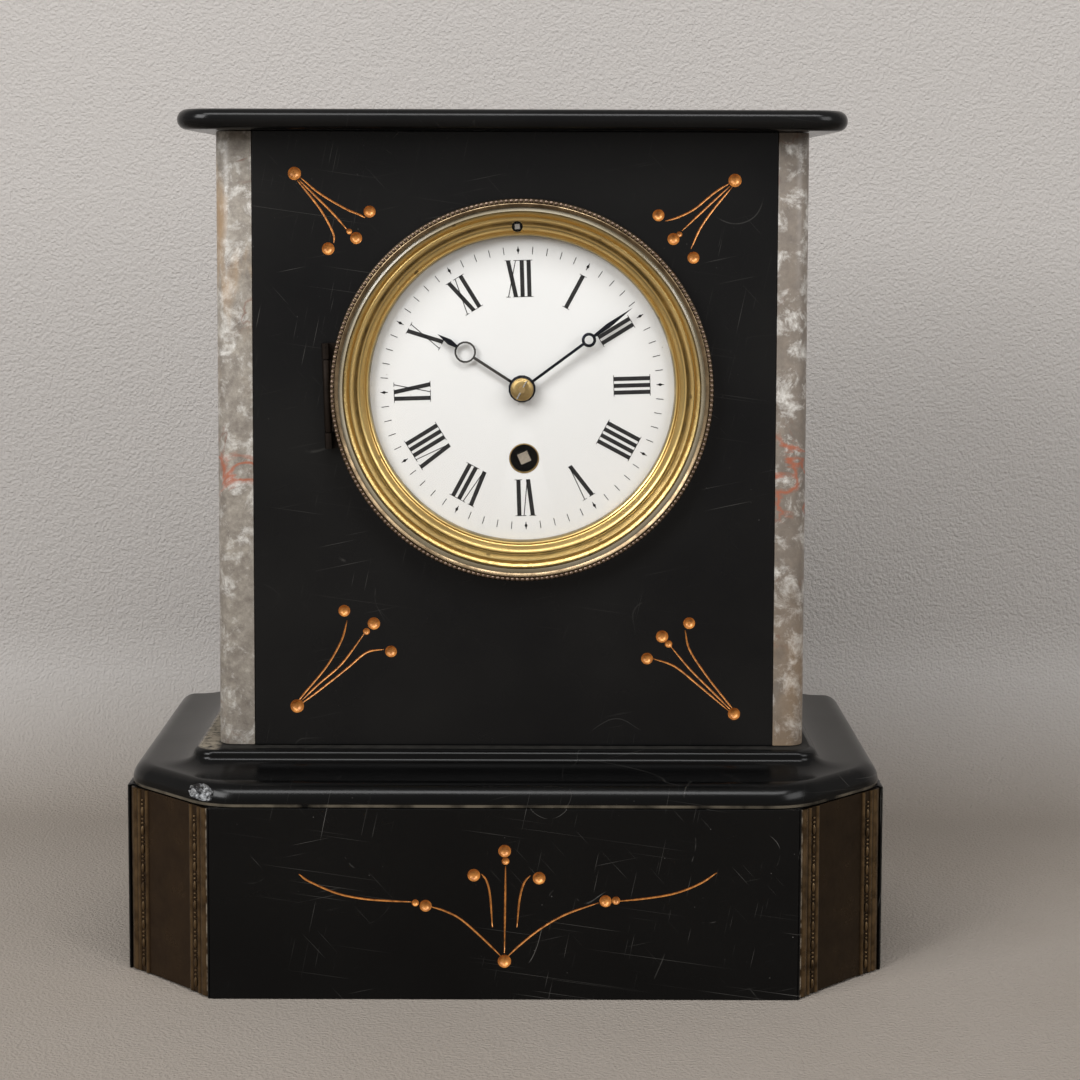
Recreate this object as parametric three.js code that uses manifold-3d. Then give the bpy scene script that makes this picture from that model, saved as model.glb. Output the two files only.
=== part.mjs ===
// Black slate mantel clock with marble pilasters and an eight-day movement.
// Millimetres, +Z up, the dial faces -Y, and the origin is at the middle of the base.
import * as THREE from "three";
import { mergeVertices } from "three/addons/utils/BufferGeometryUtils.js";
import Module from "manifold-3d";

const wasm = await Module();
wasm.setup();

// Overall sizes of the slate case
const plinthWidth = 245.4;
const plinthDepth = 137;
const plinthWallHeight = 60.8;
const cantLeg = 30.3;
const mouldingHeight = 13.3;
const bodyWidth = 189;
const bodyHeight = 197.7;
const bodySetback = 28;
const bodyBackInset = 4;
const bodyShift = 1.9;
const slabThickness = 6.5;
const slabOverhang = 11.6;
const slabCornerRadius = 12;

// Slate and marble thicknesses, with the plaster bed between two slabs
const bed = 0.2;
const plinthWall = 10;
const baseThickness = 8;
const frontPanelThickness = 12;
const sidePanelThickness = 10;
const backPanelThickness = 10;
const leftMarbleWidth = 11.7;
const rightMarbleWidth = 10.1;
const marbleDepth = 16;
const marbleCornerRadius = 5;

// Plinth moulding: quarter round, flat, cove, upright fillet and ledge
const lowerFilletHeight = 0.8;
const quarterRoundRadius = 6.2;
const coveWidth = 14;
const uprightFilletHeight = 2.2;
const ledgeWidth = 6;
const cantBlendRadius = 22;
const ledgeCornerLeg = 4;
const ledgeCornerRadius = 6.5;

// Brass plates on the canted corners
const cantPlateWidth = 40.4;
const cantPlateThickness = 1.5;
const cantPlateRelief = 0.7;
const cantPlateBorder = 9.3;
const cantPlateMargin = 0.4;

// The dial and movement stand right of the body's middle and are turned a little to set the beat
const worksShift = 3.2;
const dialCentreHeight = 189.8;
const beatTurnDegrees = 1.8;

// General running clearances
const gap = 0.3;
const pivotGap = 0.25;

// Bezel mount, glazed bezel and glass
const bezelRadius = 61;
const bezelDepth = 4.1;
const bezelLipWidth = 2.7;
const bezelLipThickness = 0.6;
const glassRebate = 1;
const glassThickness = 2.2;
const glassBevel = 1.1;
const glassBevelDepth = 0.7;
const beadRadius = 0.65;
const flangeRadius = 59.4;
const flangeThickness = 1.4;
const tubeRadius = 55.8;
const tubeWall = 1.2;
const tubeClearance = 0.7;
const webThickness = 1;
const webBore = 34;
const postRadius = 1.8;
const postCircle = 38;
const hingeBarrelRadius = 1.3;
const hingePinRadius = 0.6;
const hingeOffset = 1.9;
const hingeBarrelLength = 5;
const hingeBarrelSpread = 14.3;

// Sight ring between the glass and the dial
const sightRadius = 57.2;
const sightBore = 48.9;
const sightWall = 1.1;

// Dial
const dialSink = 5;
const dialThickness = 1.6;
const dialRadius = 50.4;
const dialCentreBore = 3.2;
const windingHoleRadius = 4.85;
const dialFootRadius = 0.9;
const dialFootCircle = 44;

// Hands
const hourTipLength = 32.3;
const hourRingCentre = 21.7;
const hourRingRadius = 3.5;
const hourRingBore = 2.9;
const hourBossRadius = 4.4;
const minuteTipLength = 44;
const minuteRingCentre = 26.6;
const minuteRingRadius = 2.35;
const minuteRingBore = 1.4;
const minuteBossRadius = 4.1;
const handThickness = 0.6;
const handShaftWidth = 0.9;
const handClearance = 1;
const colletRadius = 3.7;
const colletHeight = 1.3;
const taperPinRadius = 0.35;
const taperPinLength = 6.4;
const taperPinAngle = 30;
const taperShare = 0.8;
const colletCrownShare = 0.7;
const hourTipWidth = 1.9;
const minuteTipWidth = 1.6;
const tipSwellShare = 0.35;
const hourShown = 10;
const minuteShown = 9.2;

// Movement plates
const plateRadius = 41;
const plateThickness = 2;
const motionSpace = 6.2;
const plateSpacing = 26;
const pillarRadius = 2.2;
const pillarCircle = 36;
const pivotRadius = 0.5;

// Going train
const windingDrop = 22.6;
const barrelTeeth = 72;
const barrelModule = 0.49;
const secondPinionLeaves = 12;
const secondTeeth = 56;
const secondModule = 0.5;
const centrePinionLeaves = 8;
const centreTeeth = 72;
const centreModule = 0.38;
const thirdPinionLeaves = 6;
const thirdTeeth = 72;
const thirdModule = 0.35;
const escapePinionLeaves = 6;
const thirdArborAngle = 60;
const escapeTeeth = 36;
const escapeRadius = 8;
const escapeRimShare = 0.7;
const thirdPinionArbor = 0.6;
const wheelThickness = 1;
const barrelWheelThickness = 2;
const pinionOverrun = 0.9;
const arborRadius = 0.9;
const centreArborRadius = 1.2;
const centreTipRadius = 1.1;

// Where each wheel stands, behind the front plate's rear face
const barrelCapStand = 1.5;
const barrelCapThickness = 0.9;
const barrelDepth = 13.5;
const barrelRadius = 16.4;
const barrelWall = 0.9;
const barrelFloor = 1.2;
const barrelArborRadius = 3;
const secondWheelStand = 20.5;
const centreWheelStand = 23.1;
const thirdWheelStand = 13.4;
const escapeWheelStand = 8.4;

// Mainspring
const springCoils = 5;
const springThickness = 0.5;

// Winding work
const ratchetTeeth = 16;
const ratchetRadius = 6;
const ratchetThickness = 1.5;
const ratchetRootShare = 0.85;
const windingSquare = 3.5;
const windingTip = 0.5;
const squareTurnDegrees = 22;
const clickStudStand = 9;
const clickWidth = 2.2;
const clickHubRadius = 2.2;
const clickStudRadius = 1;
const clickStudAngle = 40;
const clickTipAngle = 88;
const clickSpringWidth = 0.5;
const clickSpringFoot = 2;
const clickSpringGap = 1.1;
const clickSpringReachShare = 0.75;

// Motion work
const cannonLeaves = 12;
const cannonModule = 0.4;
const minuteWheelTeeth = 36;
const minutePinionLeaves = 10;
const hourWheelTeeth = 40;
const cannonRadius = 1.9;
const hourPipeRadius = 2.7;
const minuteStudRadius = 0.6;
const minuteWheelStand = 0.6;
const hourWheelStand = 3.2;

// Escapement
const palletRise = 10.6;
const palletReach = 5.6;
const palletHubRadius = 1.8;
const palletThickness = 1.8;
const crutchDrop = 26;
const crutchWidth = 2.2;
const crutchThickness = 1.2;
const crutchStand = 1.9;
const crutchProng = 1.1;

// Suspension and pendulum, hung behind the back plate
const cockWidth = 22;
const cockBottom = 28;
const cockTop = 57;
const cockThickness = 2;
const cockStand = 6.6;
const cockFootHeight = 7;
const cockFootWidth = 5;
const shelfThickness = 1.5;
const shelfDepth = 13;
const clampHeight = 4;
const clampCheek = 2;
const springHang = 5.5;
const springStripWidth = 4;
const springStripThickness = 0.4;
const springStripTop = 11;
const springStripBottom = 4.4;
const chopsHeight = 5;
const chopsWidth = 7;
const chopsBack = 2.2;
const leadScrewRadius = 0.9;
const leadScrewStand = 4.6;
const bevelRadius = 2.3;
const bevelThickness = 1.4;
const ratingArborCircle = 52;
const ratingArborRadius = 1;
const ratingArborTip = 3.6;
const ratingSquare = 1.6;
const ratingHoleRadius = 1.75;
const pendulumLength = 119.8;
const rodRadius = 1.2;
const rodTail = 22;
const hookBlockDrop = 2.4;
const hookBlockWidth = 6;
const hookBlockHeight = 7;
const hookBlockDepth = 5;
const hookSlotWidth = 1.6;
const bobRadius = 14;
const bobThickness = 8;
const bobRim = 1.2;
const ratingNutRadius = 3.6;
const ratingNutHeight = 2.4;
const lensShare = 0.4;

// Back ring, door and straps
const backBore = 51.6;
const backTubeWall = 1.2;
const backTubeDepth = 8.6;
const backFlangeRadius = 57.2;
const backFlangeThickness = 1.2;
const doorRadius = 52.6;
const doorThickness = 1.1;
const doorHingeOffset = 1.7;
const doorBarrelRadius = 1.05;
const doorPinRadius = 0.45;
const doorBarrelLength = 6;
const doorBarrelSpread = 11;
const strapWidth = 10;
const strapThickness = 1.6;
const strapReach = 52.6;
const strapFoot = 7;
const strapLug = 8;
const strapLugDepth = 3;
const ringLugThickness = 1.6;
const screwRadius = 1.4;
const screwHeadRadius = 3;
const screwHeadHeight = 1.6;

// Roundness of turned pieces
const bigRound = 40;
const midRound = 20;
const smallRound = 12;
const arborRound = 8;
const overrun = 1;

// Finishes from the photograph
const slate = [0x121315, 0.22, 0];
const marble = [0x9a938a, 0.4, 0];
const gilt = [0xb8913c, 0.3, 1];
const brass = [0xa98a4a, 0.4, 1];
const patinated = [0x3a2a1a, 0.45, 1];
const steel = [0x6d7177, 0.35, 1];
const blackSteel = [0x0d0d10, 0.3, 1];
const enamel = [0xf1f1ec, 0.12, 0];
const clearGlass = [0xdfe8e6, 0.05, 0];

const clock = new THREE.Group();
const degrees = THREE.MathUtils.degToRad;

// Solids: welding, joining and cutting

function weld(geometry) {
  const bare = new THREE.BufferGeometry();
  bare.setAttribute("position", geometry.getAttribute("position").clone());
  if (geometry.index) bare.setIndex(geometry.index.clone());
  const merged = mergeVertices(bare);
  const all = merged.index.array;
  const kept = [];
  for (let i = 0; i < all.length; i += 3) {
    const [a, b, c] = [all[i], all[i + 1], all[i + 2]];
    if (a !== b && b !== c && a !== c) kept.push(a, b, c);
  }
  merged.setIndex(kept);
  return signedVolume(merged) < 0 ? turnedInsideOut(merged) : merged;
}

function signedVolume(geometry) {
  const place = geometry.getAttribute("position");
  const [a, b, c] = [new THREE.Vector3(), new THREE.Vector3(), new THREE.Vector3()];
  let total = 0;
  for (let i = 0; i < geometry.index.count; i += 3) {
    a.fromBufferAttribute(place, geometry.index.getX(i));
    b.fromBufferAttribute(place, geometry.index.getX(i + 1));
    c.fromBufferAttribute(place, geometry.index.getX(i + 2));
    total += a.dot(b.cross(c)) / 6;
  }
  return total;
}

function turnedInsideOut(geometry) {
  const flipped = [];
  for (let i = 0; i < geometry.index.count; i += 3) {
    flipped.push(geometry.index.getX(i), geometry.index.getX(i + 2), geometry.index.getX(i + 1));
  }
  geometry.setIndex(flipped);
  return geometry;
}

function solidOf(geometry) {
  const welded = weld(geometry);
  return new wasm.Manifold(new wasm.Mesh({
    numProp: 3,
    vertProperties: Float32Array.from(welded.getAttribute("position").array),
    triVerts: Uint32Array.from(welded.index.array),
  }));
}

function geometryOf(solid) {
  const mesh = solid.getMesh();
  const geometry = new THREE.BufferGeometry();
  geometry.setAttribute("position", new THREE.BufferAttribute(Float32Array.from(mesh.vertProperties), 3));
  geometry.setIndex(Array.from(mesh.triVerts));
  return geometry;
}

function join(...geometries) {
  return geometryOf(geometries.map(solidOf).reduce((whole, part) => whole.add(part)));
}

function cut(geometry, ...tools) {
  return geometryOf(tools.map(solidOf).reduce((whole, tool) => whole.subtract(tool), solidOf(geometry)));
}

function add(group, name, geometry, [color, roughness, metalness]) {
  const shape = weld(geometry);
  shape.computeVertexNormals();
  const material = new THREE.MeshStandardMaterial({ color, roughness, metalness });
  const mesh = new THREE.Mesh(shape, material);
  mesh.name = name;
  group.add(mesh);
  return mesh;
}

// Basic forms, placed by their limits

function block([x0, x1], [y0, y1], [z0, z1]) {
  const box = new THREE.BoxGeometry(x1 - x0, y1 - y0, z1 - z0);
  return box.translate((x0 + x1) / 2, (y0 + y1) / 2, (z0 + z1) / 2);
}

function upright(points, z0, z1) {
  const outline = new THREE.Shape(points.map(([x, y]) => new THREE.Vector2(x, y)));
  return new THREE.ExtrudeGeometry(outline, { depth: z1 - z0, bevelEnabled: false }).translate(0, 0, z0);
}

// A shape drawn as seen from the front, cut from y0 back to y1
function facing(shape, y0, y1, curveSegments = arborRound) {
  const sheet = new THREE.ExtrudeGeometry(shape, { depth: y1 - y0, bevelEnabled: false, curveSegments });
  return sheet.rotateX(Math.PI / 2).translate(0, y1, 0);
}

// A rod along Y at [x, z]
function rod(radius, y0, y1, [x, z] = [0, 0], sides = arborRound) {
  return new THREE.CylinderGeometry(radius, radius, y1 - y0, sides).translate(x, (y0 + y1) / 2, z);
}

// A rod along Z at [x, y]
function post(radius, z0, z1, [x, y] = [0, 0], sides = arborRound) {
  const cylinder = new THREE.CylinderGeometry(radius, radius, z1 - z0, sides);
  return cylinder.rotateX(Math.PI / 2).translate(x, y, (z0 + z1) / 2);
}

// A ring turned about Y from a closed list of [radius, y]
function turned(profile, sides = bigRound) {
  const closed = [...profile, profile[0]].map(([r, y]) => new THREE.Vector2(r, y));
  return new THREE.LatheGeometry(closed, sides);
}

function disc(radius, y0, y1, sides = midRound) {
  return rod(radius, y0, y1, [0, 0], sides);
}

function polar(length, angle, [x, z] = [0, 0]) {
  return [x + length * Math.cos(angle), z + length * Math.sin(angle)];
}

function bearing([x0, z0], [x1, z1]) {
  return Math.atan2(z1 - z0, x1 - x0);
}

// Solid between rings of points that all have the same count
function loft(rings) {
  const places = [];
  const faces = [];
  const count = rings[0].points.length;
  rings.forEach(({ points, z }) => points.forEach((p) => places.push(p.x, p.y, z)));
  for (let level = 0; level + 1 < rings.length; level += 1) {
    for (let i = 0; i < count; i += 1) {
      const next = (i + 1) % count;
      const [a, b] = [level * count + i, level * count + next];
      faces.push(a, b, b + count, a, b + count, a + count);
    }
  }
  const last = (rings.length - 1) * count;
  THREE.ShapeUtils.triangulateShape(rings[0].points, []).forEach(([a, b, c]) => faces.push(a, c, b));
  THREE.ShapeUtils.triangulateShape(rings.at(-1).points, []).forEach(([a, b, c]) => {
    faces.push(last + a, last + b, last + c);
  });
  const geometry = new THREE.BufferGeometry();
  geometry.setAttribute("position", new THREE.Float32BufferAttribute(places, 3));
  geometry.setIndex(faces);
  return geometry;
}

// Outline with rounded corners, from a list of [x, y, radius], counter-clockwise
function rounded(corners, steps) {
  const points = [];
  corners.forEach(([x, y, radius], i) => {
    const corner = new THREE.Vector2(x, y);
    const [px, py] = corners.at(i - 1);
    const [nx, ny] = corners[(i + 1) % corners.length];
    const before = new THREE.Vector2(px, py).sub(corner).normalize();
    const after = new THREE.Vector2(nx, ny).sub(corner).normalize();
    if (radius === 0) {
      points.push(corner);
      return;
    }
    const half = before.angleTo(after) / 2;
    const middle = before.clone().add(after).normalize();
    const centre = corner.clone().addScaledVector(middle, radius / Math.sin(half));
    const start = corner.clone().addScaledVector(before, radius / Math.tan(half)).sub(centre);
    for (let k = 0; k <= steps; k += 1) {
      const turn = (k / steps) * (Math.PI - 2 * half);
      points.push(start.clone().rotateAround(new THREE.Vector2(), turn).add(centre));
    }
  });
  return points;
}

// Levels of the case, and the two outlines seen from above
const plinthFront = -plinthDepth / 2;
const plinthBack = plinthDepth / 2;
const plinthSide = plinthWidth / 2;
const ledgeHeight = plinthWallHeight + bed + mouldingHeight;
const bodyFloor = ledgeHeight + bed;
const bodyTop = ledgeHeight + bodyHeight;
const faceY = plinthFront + bodySetback;
const bodySide = bodyWidth / 2;
const bodyBack = plinthBack - bodyBackInset;

const body = new THREE.Group();
body.position.x = bodyShift;
clock.add(body);

// Plinth

// A place on a canted corner: along it from the front edge, and in from its face
const cantLength = cantLeg * Math.SQRT2;

function onCant(side, along, inward) {
  const [step, sink] = [along / Math.SQRT2, inward / Math.SQRT2];
  return [side * (plinthSide - cantLeg + step - sink), plinthFront + step + sink];
}

function addPlinthWalls() {
  const inner = plinthSide - plinthWall;
  const frontEnd = plinthSide - cantLeg;
  const sideStart = plinthFront + cantLeg;
  const backStart = plinthBack - plinthWall;
  const frontPlan = [[-frontEnd, plinthFront], [frontEnd, plinthFront],
    [frontEnd - plinthWall, plinthFront + plinthWall], [plinthWall - frontEnd, plinthFront + plinthWall]];
  add(clock, "plinth_front_panel", upright(frontPlan, 0, plinthWallHeight), slate);
  [["left", -1], ["right", 1]].forEach(([word, side]) => {
    const plan = [[side * plinthSide, sideStart], [side * plinthSide, backStart - bed],
      [side * inner, backStart - bed], [side * inner, sideStart + plinthWall]];
    add(clock, `plinth_${word}_panel`, upright(plan, 0, plinthWallHeight), slate);
  });
  const back = block([-plinthSide, plinthSide], [backStart, plinthBack], [0, plinthWallHeight]);
  add(clock, "plinth_back_panel", back, slate);
  const [x, y0, y1] = [inner - bed, plinthFront + plinthWall + bed, backStart - bed];
  const notch = cantLeg - 2 * (plinthWall + bed) + Math.SQRT2 * (plinthWall + bed);
  const base = [[-x + notch, y0], [x - notch, y0], [x, y0 + notch], [x, y1], [-x, y1], [-x, y0 + notch]];
  add(clock, "plinth_base_plate", upright(base, 0, baseThickness), slate);
}

// Slate block behind each brass plate, with a rebate for the plate
function cantBlock(side) {
  const margin = (cantLength - cantPlateWidth) / 2 - gap;
  const rebate = cantPlateThickness + gap;
  const places = [[bed, 0], [margin, 0], [margin, rebate], [cantLength - margin, rebate],
    [cantLength - margin, 0], [cantLength - bed, 0], [cantLength - bed, plinthWall], [bed, plinthWall]];
  return upright(places.map(([along, inward]) => onCant(side, along, inward)), 0, plinthWallHeight);
}

// Section of the plate: plain middle, then a thin rib, a bead row, a thin rib, a broad rib and the edge
const borderShares = [[0, 0], [0.06, 1], [0.16, 1], [0.2, 0.3], [0.42, 0.3], [0.46, 1], [0.56, 1], [0.62, 0.2],
  [0.68, 1], [0.92, 1], [1, 0.3]];

function cantPlate() {
  const half = cantPlateWidth / 2;
  const start = half - cantPlateBorder;
  const raised = borderShares.map(([s, t]) => [start + s * cantPlateBorder, -t * cantPlateRelief]);
  const mirrored = raised.map(([x, y]) => [-x, y]).reverse();
  const floor = cantPlateThickness - cantPlateRelief;
  const section = [...mirrored, ...raised, [half, floor], [-half, floor]];
  return upright(section, cantPlateMargin, plinthWallHeight - cantPlateMargin);
}

function addCants() {
  [["left", -1], ["right", 1]].forEach(([word, side]) => {
    add(clock, `${word}_cant_block`, cantBlock(side), slate);
    const plate = add(clock, `${word}_cant_plate`, cantPlate(), patinated);
    const inward = cantPlateRelief / Math.SQRT2;
    plate.position.x = side * (plinthSide - cantLeg / 2 - inward);
    plate.position.y = plinthFront + cantLeg / 2 + inward;
    plate.rotation.z = side * Math.PI / 4;
  });
}

// Outline of the moulding at a given inset; the back stays flat
function mouldingOutline(inset) {
  const share = Math.min(inset / (bodySetback - ledgeWidth), 1);
  const leg = THREE.MathUtils.lerp(cantLeg, ledgeCornerLeg, share);
  const radius = THREE.MathUtils.lerp(cantBlendRadius, ledgeCornerRadius, share);
  const [x, y] = [plinthSide - inset, plinthFront + inset];
  const corners = [
    [-x, plinthBack, 0], [-x, y + leg, radius], [-x + leg, y, radius],
    [x - leg, y, radius], [x, y + leg, radius], [x, plinthBack, 0],
  ];
  return rounded(corners, 4);
}

function addMoulding() {
  const floor = plinthWallHeight + bed;
  const flatHeight = floor + lowerFilletHeight + quarterRoundRadius;
  const coveFoot = bodySetback - ledgeWidth - coveWidth;
  const coveTop = ledgeHeight - uprightFilletHeight;
  const levels = [[lowerFilletHeight, floor], [lowerFilletHeight, floor + lowerFilletHeight]];
  const [quarterSteps, coveSteps] = [4, 4];
  for (let k = 0; k <= quarterSteps; k += 1) {
    const turn = (k / quarterSteps) * Math.PI / 2;
    const inset = quarterRoundRadius * (1 - Math.cos(turn));
    levels.push([inset, floor + lowerFilletHeight + quarterRoundRadius * Math.sin(turn)]);
  }
  for (let k = 0; k <= coveSteps; k += 1) {
    const turn = (k / coveSteps) * Math.PI / 2;
    const height = (coveTop - flatHeight) * (1 - Math.cos(turn));
    levels.push([coveFoot + coveWidth * Math.sin(turn), flatHeight + height]);
  }
  levels.push([bodySetback - ledgeWidth, ledgeHeight]);
  const rings = levels.map(([inset, z]) => ({ points: mouldingOutline(inset), z }));
  add(clock, "plinth_moulding", loft(rings), slate);
}

// Body

function addPilasters() {
  const walls = [bodyFloor, bodyTop - bed];
  [["left", -1, leftMarbleWidth], ["right", 1, rightMarbleWidth]].forEach(([word, side, width]) => {
    const [outer, inner] = [side * bodySide, side * (bodySide - width)];
    const corners = [[outer, faceY, marbleCornerRadius], [outer, faceY + marbleDepth, 0],
      [inner, faceY + marbleDepth, 0], [inner, faceY, 0]];
    const outline = rounded(side > 0 ? corners : corners.reverse(), 4);
    add(body, `${word}_pilaster`, upright(outline.map((p) => [p.x, p.y]), ...walls), marble);
  });
}

function addBodyPanels() {
  const walls = [bodyFloor, bodyTop - bed];
  const frontSpan = [leftMarbleWidth - bodySide + bed, bodySide - rightMarbleWidth - bed];
  const hole = rod(tubeRadius + tubeClearance, faceY - overrun, faceY + frontPanelThickness + overrun,
    [worksShift, dialCentreHeight], bigRound);
  const front = block(frontSpan, [faceY, faceY + frontPanelThickness], walls);
  add(body, "front_panel", cut(front, hole), slate);
  const sideSpan = [faceY + marbleDepth + bed, bodyBack];
  const inner = bodySide - sidePanelThickness;
  add(body, "left_side_panel", block([-bodySide, -inner], sideSpan, walls), slate);
  add(body, "right_side_panel", block([inner, bodySide], sideSpan, walls), slate);
  const backHole = rod(backBore + backTubeWall + tubeClearance, bodyBack - backPanelThickness - overrun,
    bodyBack + overrun, [worksShift, dialCentreHeight], bigRound);
  const back = block([bed - inner, inner - bed], [bodyBack - backPanelThickness, bodyBack], walls);
  add(body, "back_panel", cut(back, backHole), slate);
}

function addTopSlab() {
  const side = bodySide + slabOverhang;
  const front = faceY - slabOverhang;
  const radius = slabThickness / 2;
  const steps = 6;
  const rings = [];
  for (let k = 0; k <= steps; k += 1) {
    const turn = (k / steps - 1 / 2) * Math.PI;
    const inset = radius * (1 - Math.cos(turn));
    const [x, y, r] = [side - inset, front + inset, slabCornerRadius - inset];
    const corners = [[-x, plinthBack, 0], [-x, y, r], [x, y, r], [x, plinthBack, 0]];
    rings.push({ points: rounded(corners, 6), z: bodyTop + radius + radius * Math.sin(turn) });
  }
  add(body, "top_slab", loft(rings), slate);
}

// Works: everything that sits in the round hole, in one turned group centred on the dial

const works = new THREE.Group();
works.position.set(worksShift, 0, dialCentreHeight);
works.rotation.y = -degrees(beatTurnDegrees);
body.add(works);

// Depths of the front pieces, from the slate face forward and back
const flangeBack = faceY - gap;
const flangeFront = flangeBack - flangeThickness;
const bezelBack = flangeFront - gap;
const bezelFront = bezelBack - bezelDepth;
const glassFront = bezelFront + bezelLipThickness + gap;
const glassBack = glassFront + glassThickness;
const sightFront = glassBack + gap;
const dialFront = faceY + dialSink;
const dialBack = dialFront + dialThickness;
const webFront = dialBack + gap;
const webBack = webFront + webThickness;
const frontPlateFront = webBack + motionSpace;
const frontPlateBack = frontPlateFront + plateThickness;
const backPlateFront = frontPlateBack + plateSpacing;
const backPlateBack = backPlateFront + plateThickness;
const hourFront = dialFront - handClearance - handThickness;
const minuteFront = hourFront - handClearance - handThickness;
const taperPinY = minuteFront - gap - colletHeight - gap - taperPinRadius;
const postAngles = [60, 180, 300].map(degrees);
const dialFootAngles = [20, 140, 240].map(degrees);
const hingeX = -bezelRadius - hingeOffset / 2;
const hingeY = bezelBack - hingeBarrelRadius + gap;

function barrelAt([x, y], radius, pin, z0, z1) {
  return cut(post(radius, z0, z1, [x, y]), post(pin + gap, z0 - overrun, z1 + overrun, [x, y]));
}

function addBezelMount() {
  const tube = tubeRadius - tubeWall;
  const profile = [
    [tube, flangeFront], [flangeRadius, flangeFront], [flangeRadius, flangeBack], [tubeRadius, flangeBack],
    [tubeRadius, webBack], [webBore, webBack], [webBore, webFront], [tube, webFront],
  ];
  const posts = postAngles.map((a) => rod(postRadius, webBack - webThickness / 2, frontPlateFront - gap,
    polar(postCircle, a)));
  const half = hingeBarrelSpread + hingeBarrelLength / 2;
  const start = hingeBarrelSpread - hingeBarrelLength / 2;
  const ears = [[-half, -start], [start, half]].flatMap(([z0, z1]) => [
    post(hingeBarrelRadius, z0, z1, [hingeX, hingeY]),
    block([hingeX, -tubeRadius - tubeClearance], [flangeFront, flangeBack], [z0, z1]),
    block([hingeX - hingeBarrelRadius, hingeX], [hingeY, flangeBack], [z0, z1]),
  ]);
  const pin = post(hingePinRadius, -half, half, [hingeX, hingeY]);
  const whole = join(turned(profile), ...posts, ...ears, pin);
  const through = [webFront - overrun, webBack + overrun];
  const footHoles = dialFootAngles.map((a) => rod(dialFootRadius + gap, ...through, polar(dialFootCircle, a)));
  const ratingHole = rod(ratingArborRadius + gap, ...through, [0, ratingArborCircle]);
  add(works, "bezel_mount", cut(whole, ...footHoles, ratingHole), brass);
}

// Front line of the sight ring as shares of its width and of its depth
const sightShares = [[0, 0.02], [0.2, 0.12], [0.26, 0.02], [0.36, 0.08], [0.5, 0.36], [0.6, 0.34],
  [0.82, 0.6], [0.92, 0.56], [1, 1]];

function addSightRing() {
  const width = sightRadius - sightBore;
  const depth = dialFront - gap - sightFront;
  const front = sightShares.map(([s, t]) => [sightRadius - s * width, sightFront + t * depth]);
  const seatRadius = tubeRadius - tubeWall - gap;
  const rear = [
    [sightBore + sightWall, sightFront + depth], [seatRadius - sightWall, sightFront + sightWall + depth / 2],
    [seatRadius, flangeFront - gap], [sightRadius, flangeFront - gap],
  ];
  const hole = rod(ratingHoleRadius, sightFront - overrun, dialFront, [0, ratingArborCircle]);
  add(works, "sight_ring", cut(turned([...front, ...rear]), hole), gilt);
}

function addBezelDoor() {
  const lip = bezelRadius - bezelLipWidth;
  const rebate = lip + glassRebate;
  const profile = [
    [lip, bezelFront + bezelLipThickness], [lip, bezelFront + bezelLipThickness / 2], [lip + gap, bezelFront],
    [bezelRadius - 2 * beadRadius, bezelFront], [bezelRadius - 2 * beadRadius, bezelFront + beadRadius],
    [bezelRadius - beadRadius / 2, bezelFront + beadRadius], [bezelRadius, bezelFront + 2 * beadRadius],
    [bezelRadius, bezelBack], [rebate, bezelBack], [rebate, bezelFront + bezelLipThickness],
  ];
  const reach = hingeBarrelSpread - hingeBarrelLength / 2 - gap;
  const knuckle = barrelAt([hingeX, hingeY], hingeBarrelRadius, hingePinRadius, -reach, reach);
  const hollow = post(hingePinRadius + gap, -reach - overrun, reach + overrun, [hingeX, hingeY]);
  const leaf = block([hingeX + hingePinRadius, -bezelRadius + bezelLipWidth / 3],
    [bezelBack - 2 * hingeBarrelRadius, bezelBack], [-reach, reach]);
  add(works, "bezel_frame", join(turned(profile), cut(join(knuckle, leaf), hollow)), patinated);
  const glass = turned([[0, glassFront], [lip - glassBevel, glassFront],
    [rebate - gap, glassFront + glassBevelDepth], [rebate - gap, glassBack], [0, glassBack]]);
  add(works, "bezel_glass", glass, clearGlass);
}

function addDial() {
  const shape = new THREE.Shape().absarc(0, 0, dialRadius, 0, 2 * Math.PI);
  shape.holes.push(new THREE.Path().absarc(0, 0, dialCentreBore, 0, 2 * Math.PI));
  shape.holes.push(new THREE.Path().absarc(0, -windingDrop, windingHoleRadius, 0, 2 * Math.PI));
  const plate = facing(shape, dialFront, dialBack, smallRound);
  const feet = dialFootAngles.map((a) => rod(dialFootRadius, dialBack - dialThickness / 2, webBack + overrun,
    polar(dialFootCircle, a)));
  add(works, "dial", join(plate, ...feet), enamel);
}

// Toothed wheels: a wheel tooth points at the neighbour, and a pinion shows it a gap

// Each tooth is a list of [height share, turn share] from one root to the next tooth
const wheelToothShares = [[-1.3, -0.5], [0.7, -0.08], [0.7, 0.08]];
const leafShares = [[-1.45, -0.24], [0.45, -0.08], [0.45, 0.08], [-1.45, 0.24]];

function toothed(teeth, module, phase, shares) {
  const radius = teeth * module / 2;
  const step = 2 * Math.PI / teeth;
  const points = [];
  for (let k = 0; k < teeth; k += 1) {
    shares.forEach(([heightShare, turnShare]) => {
      const spot = polar(radius + heightShare * module, phase + (k + turnShare) * step);
      points.push(new THREE.Vector2(...spot));
    });
  }
  return new THREE.Shape(points);
}

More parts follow.
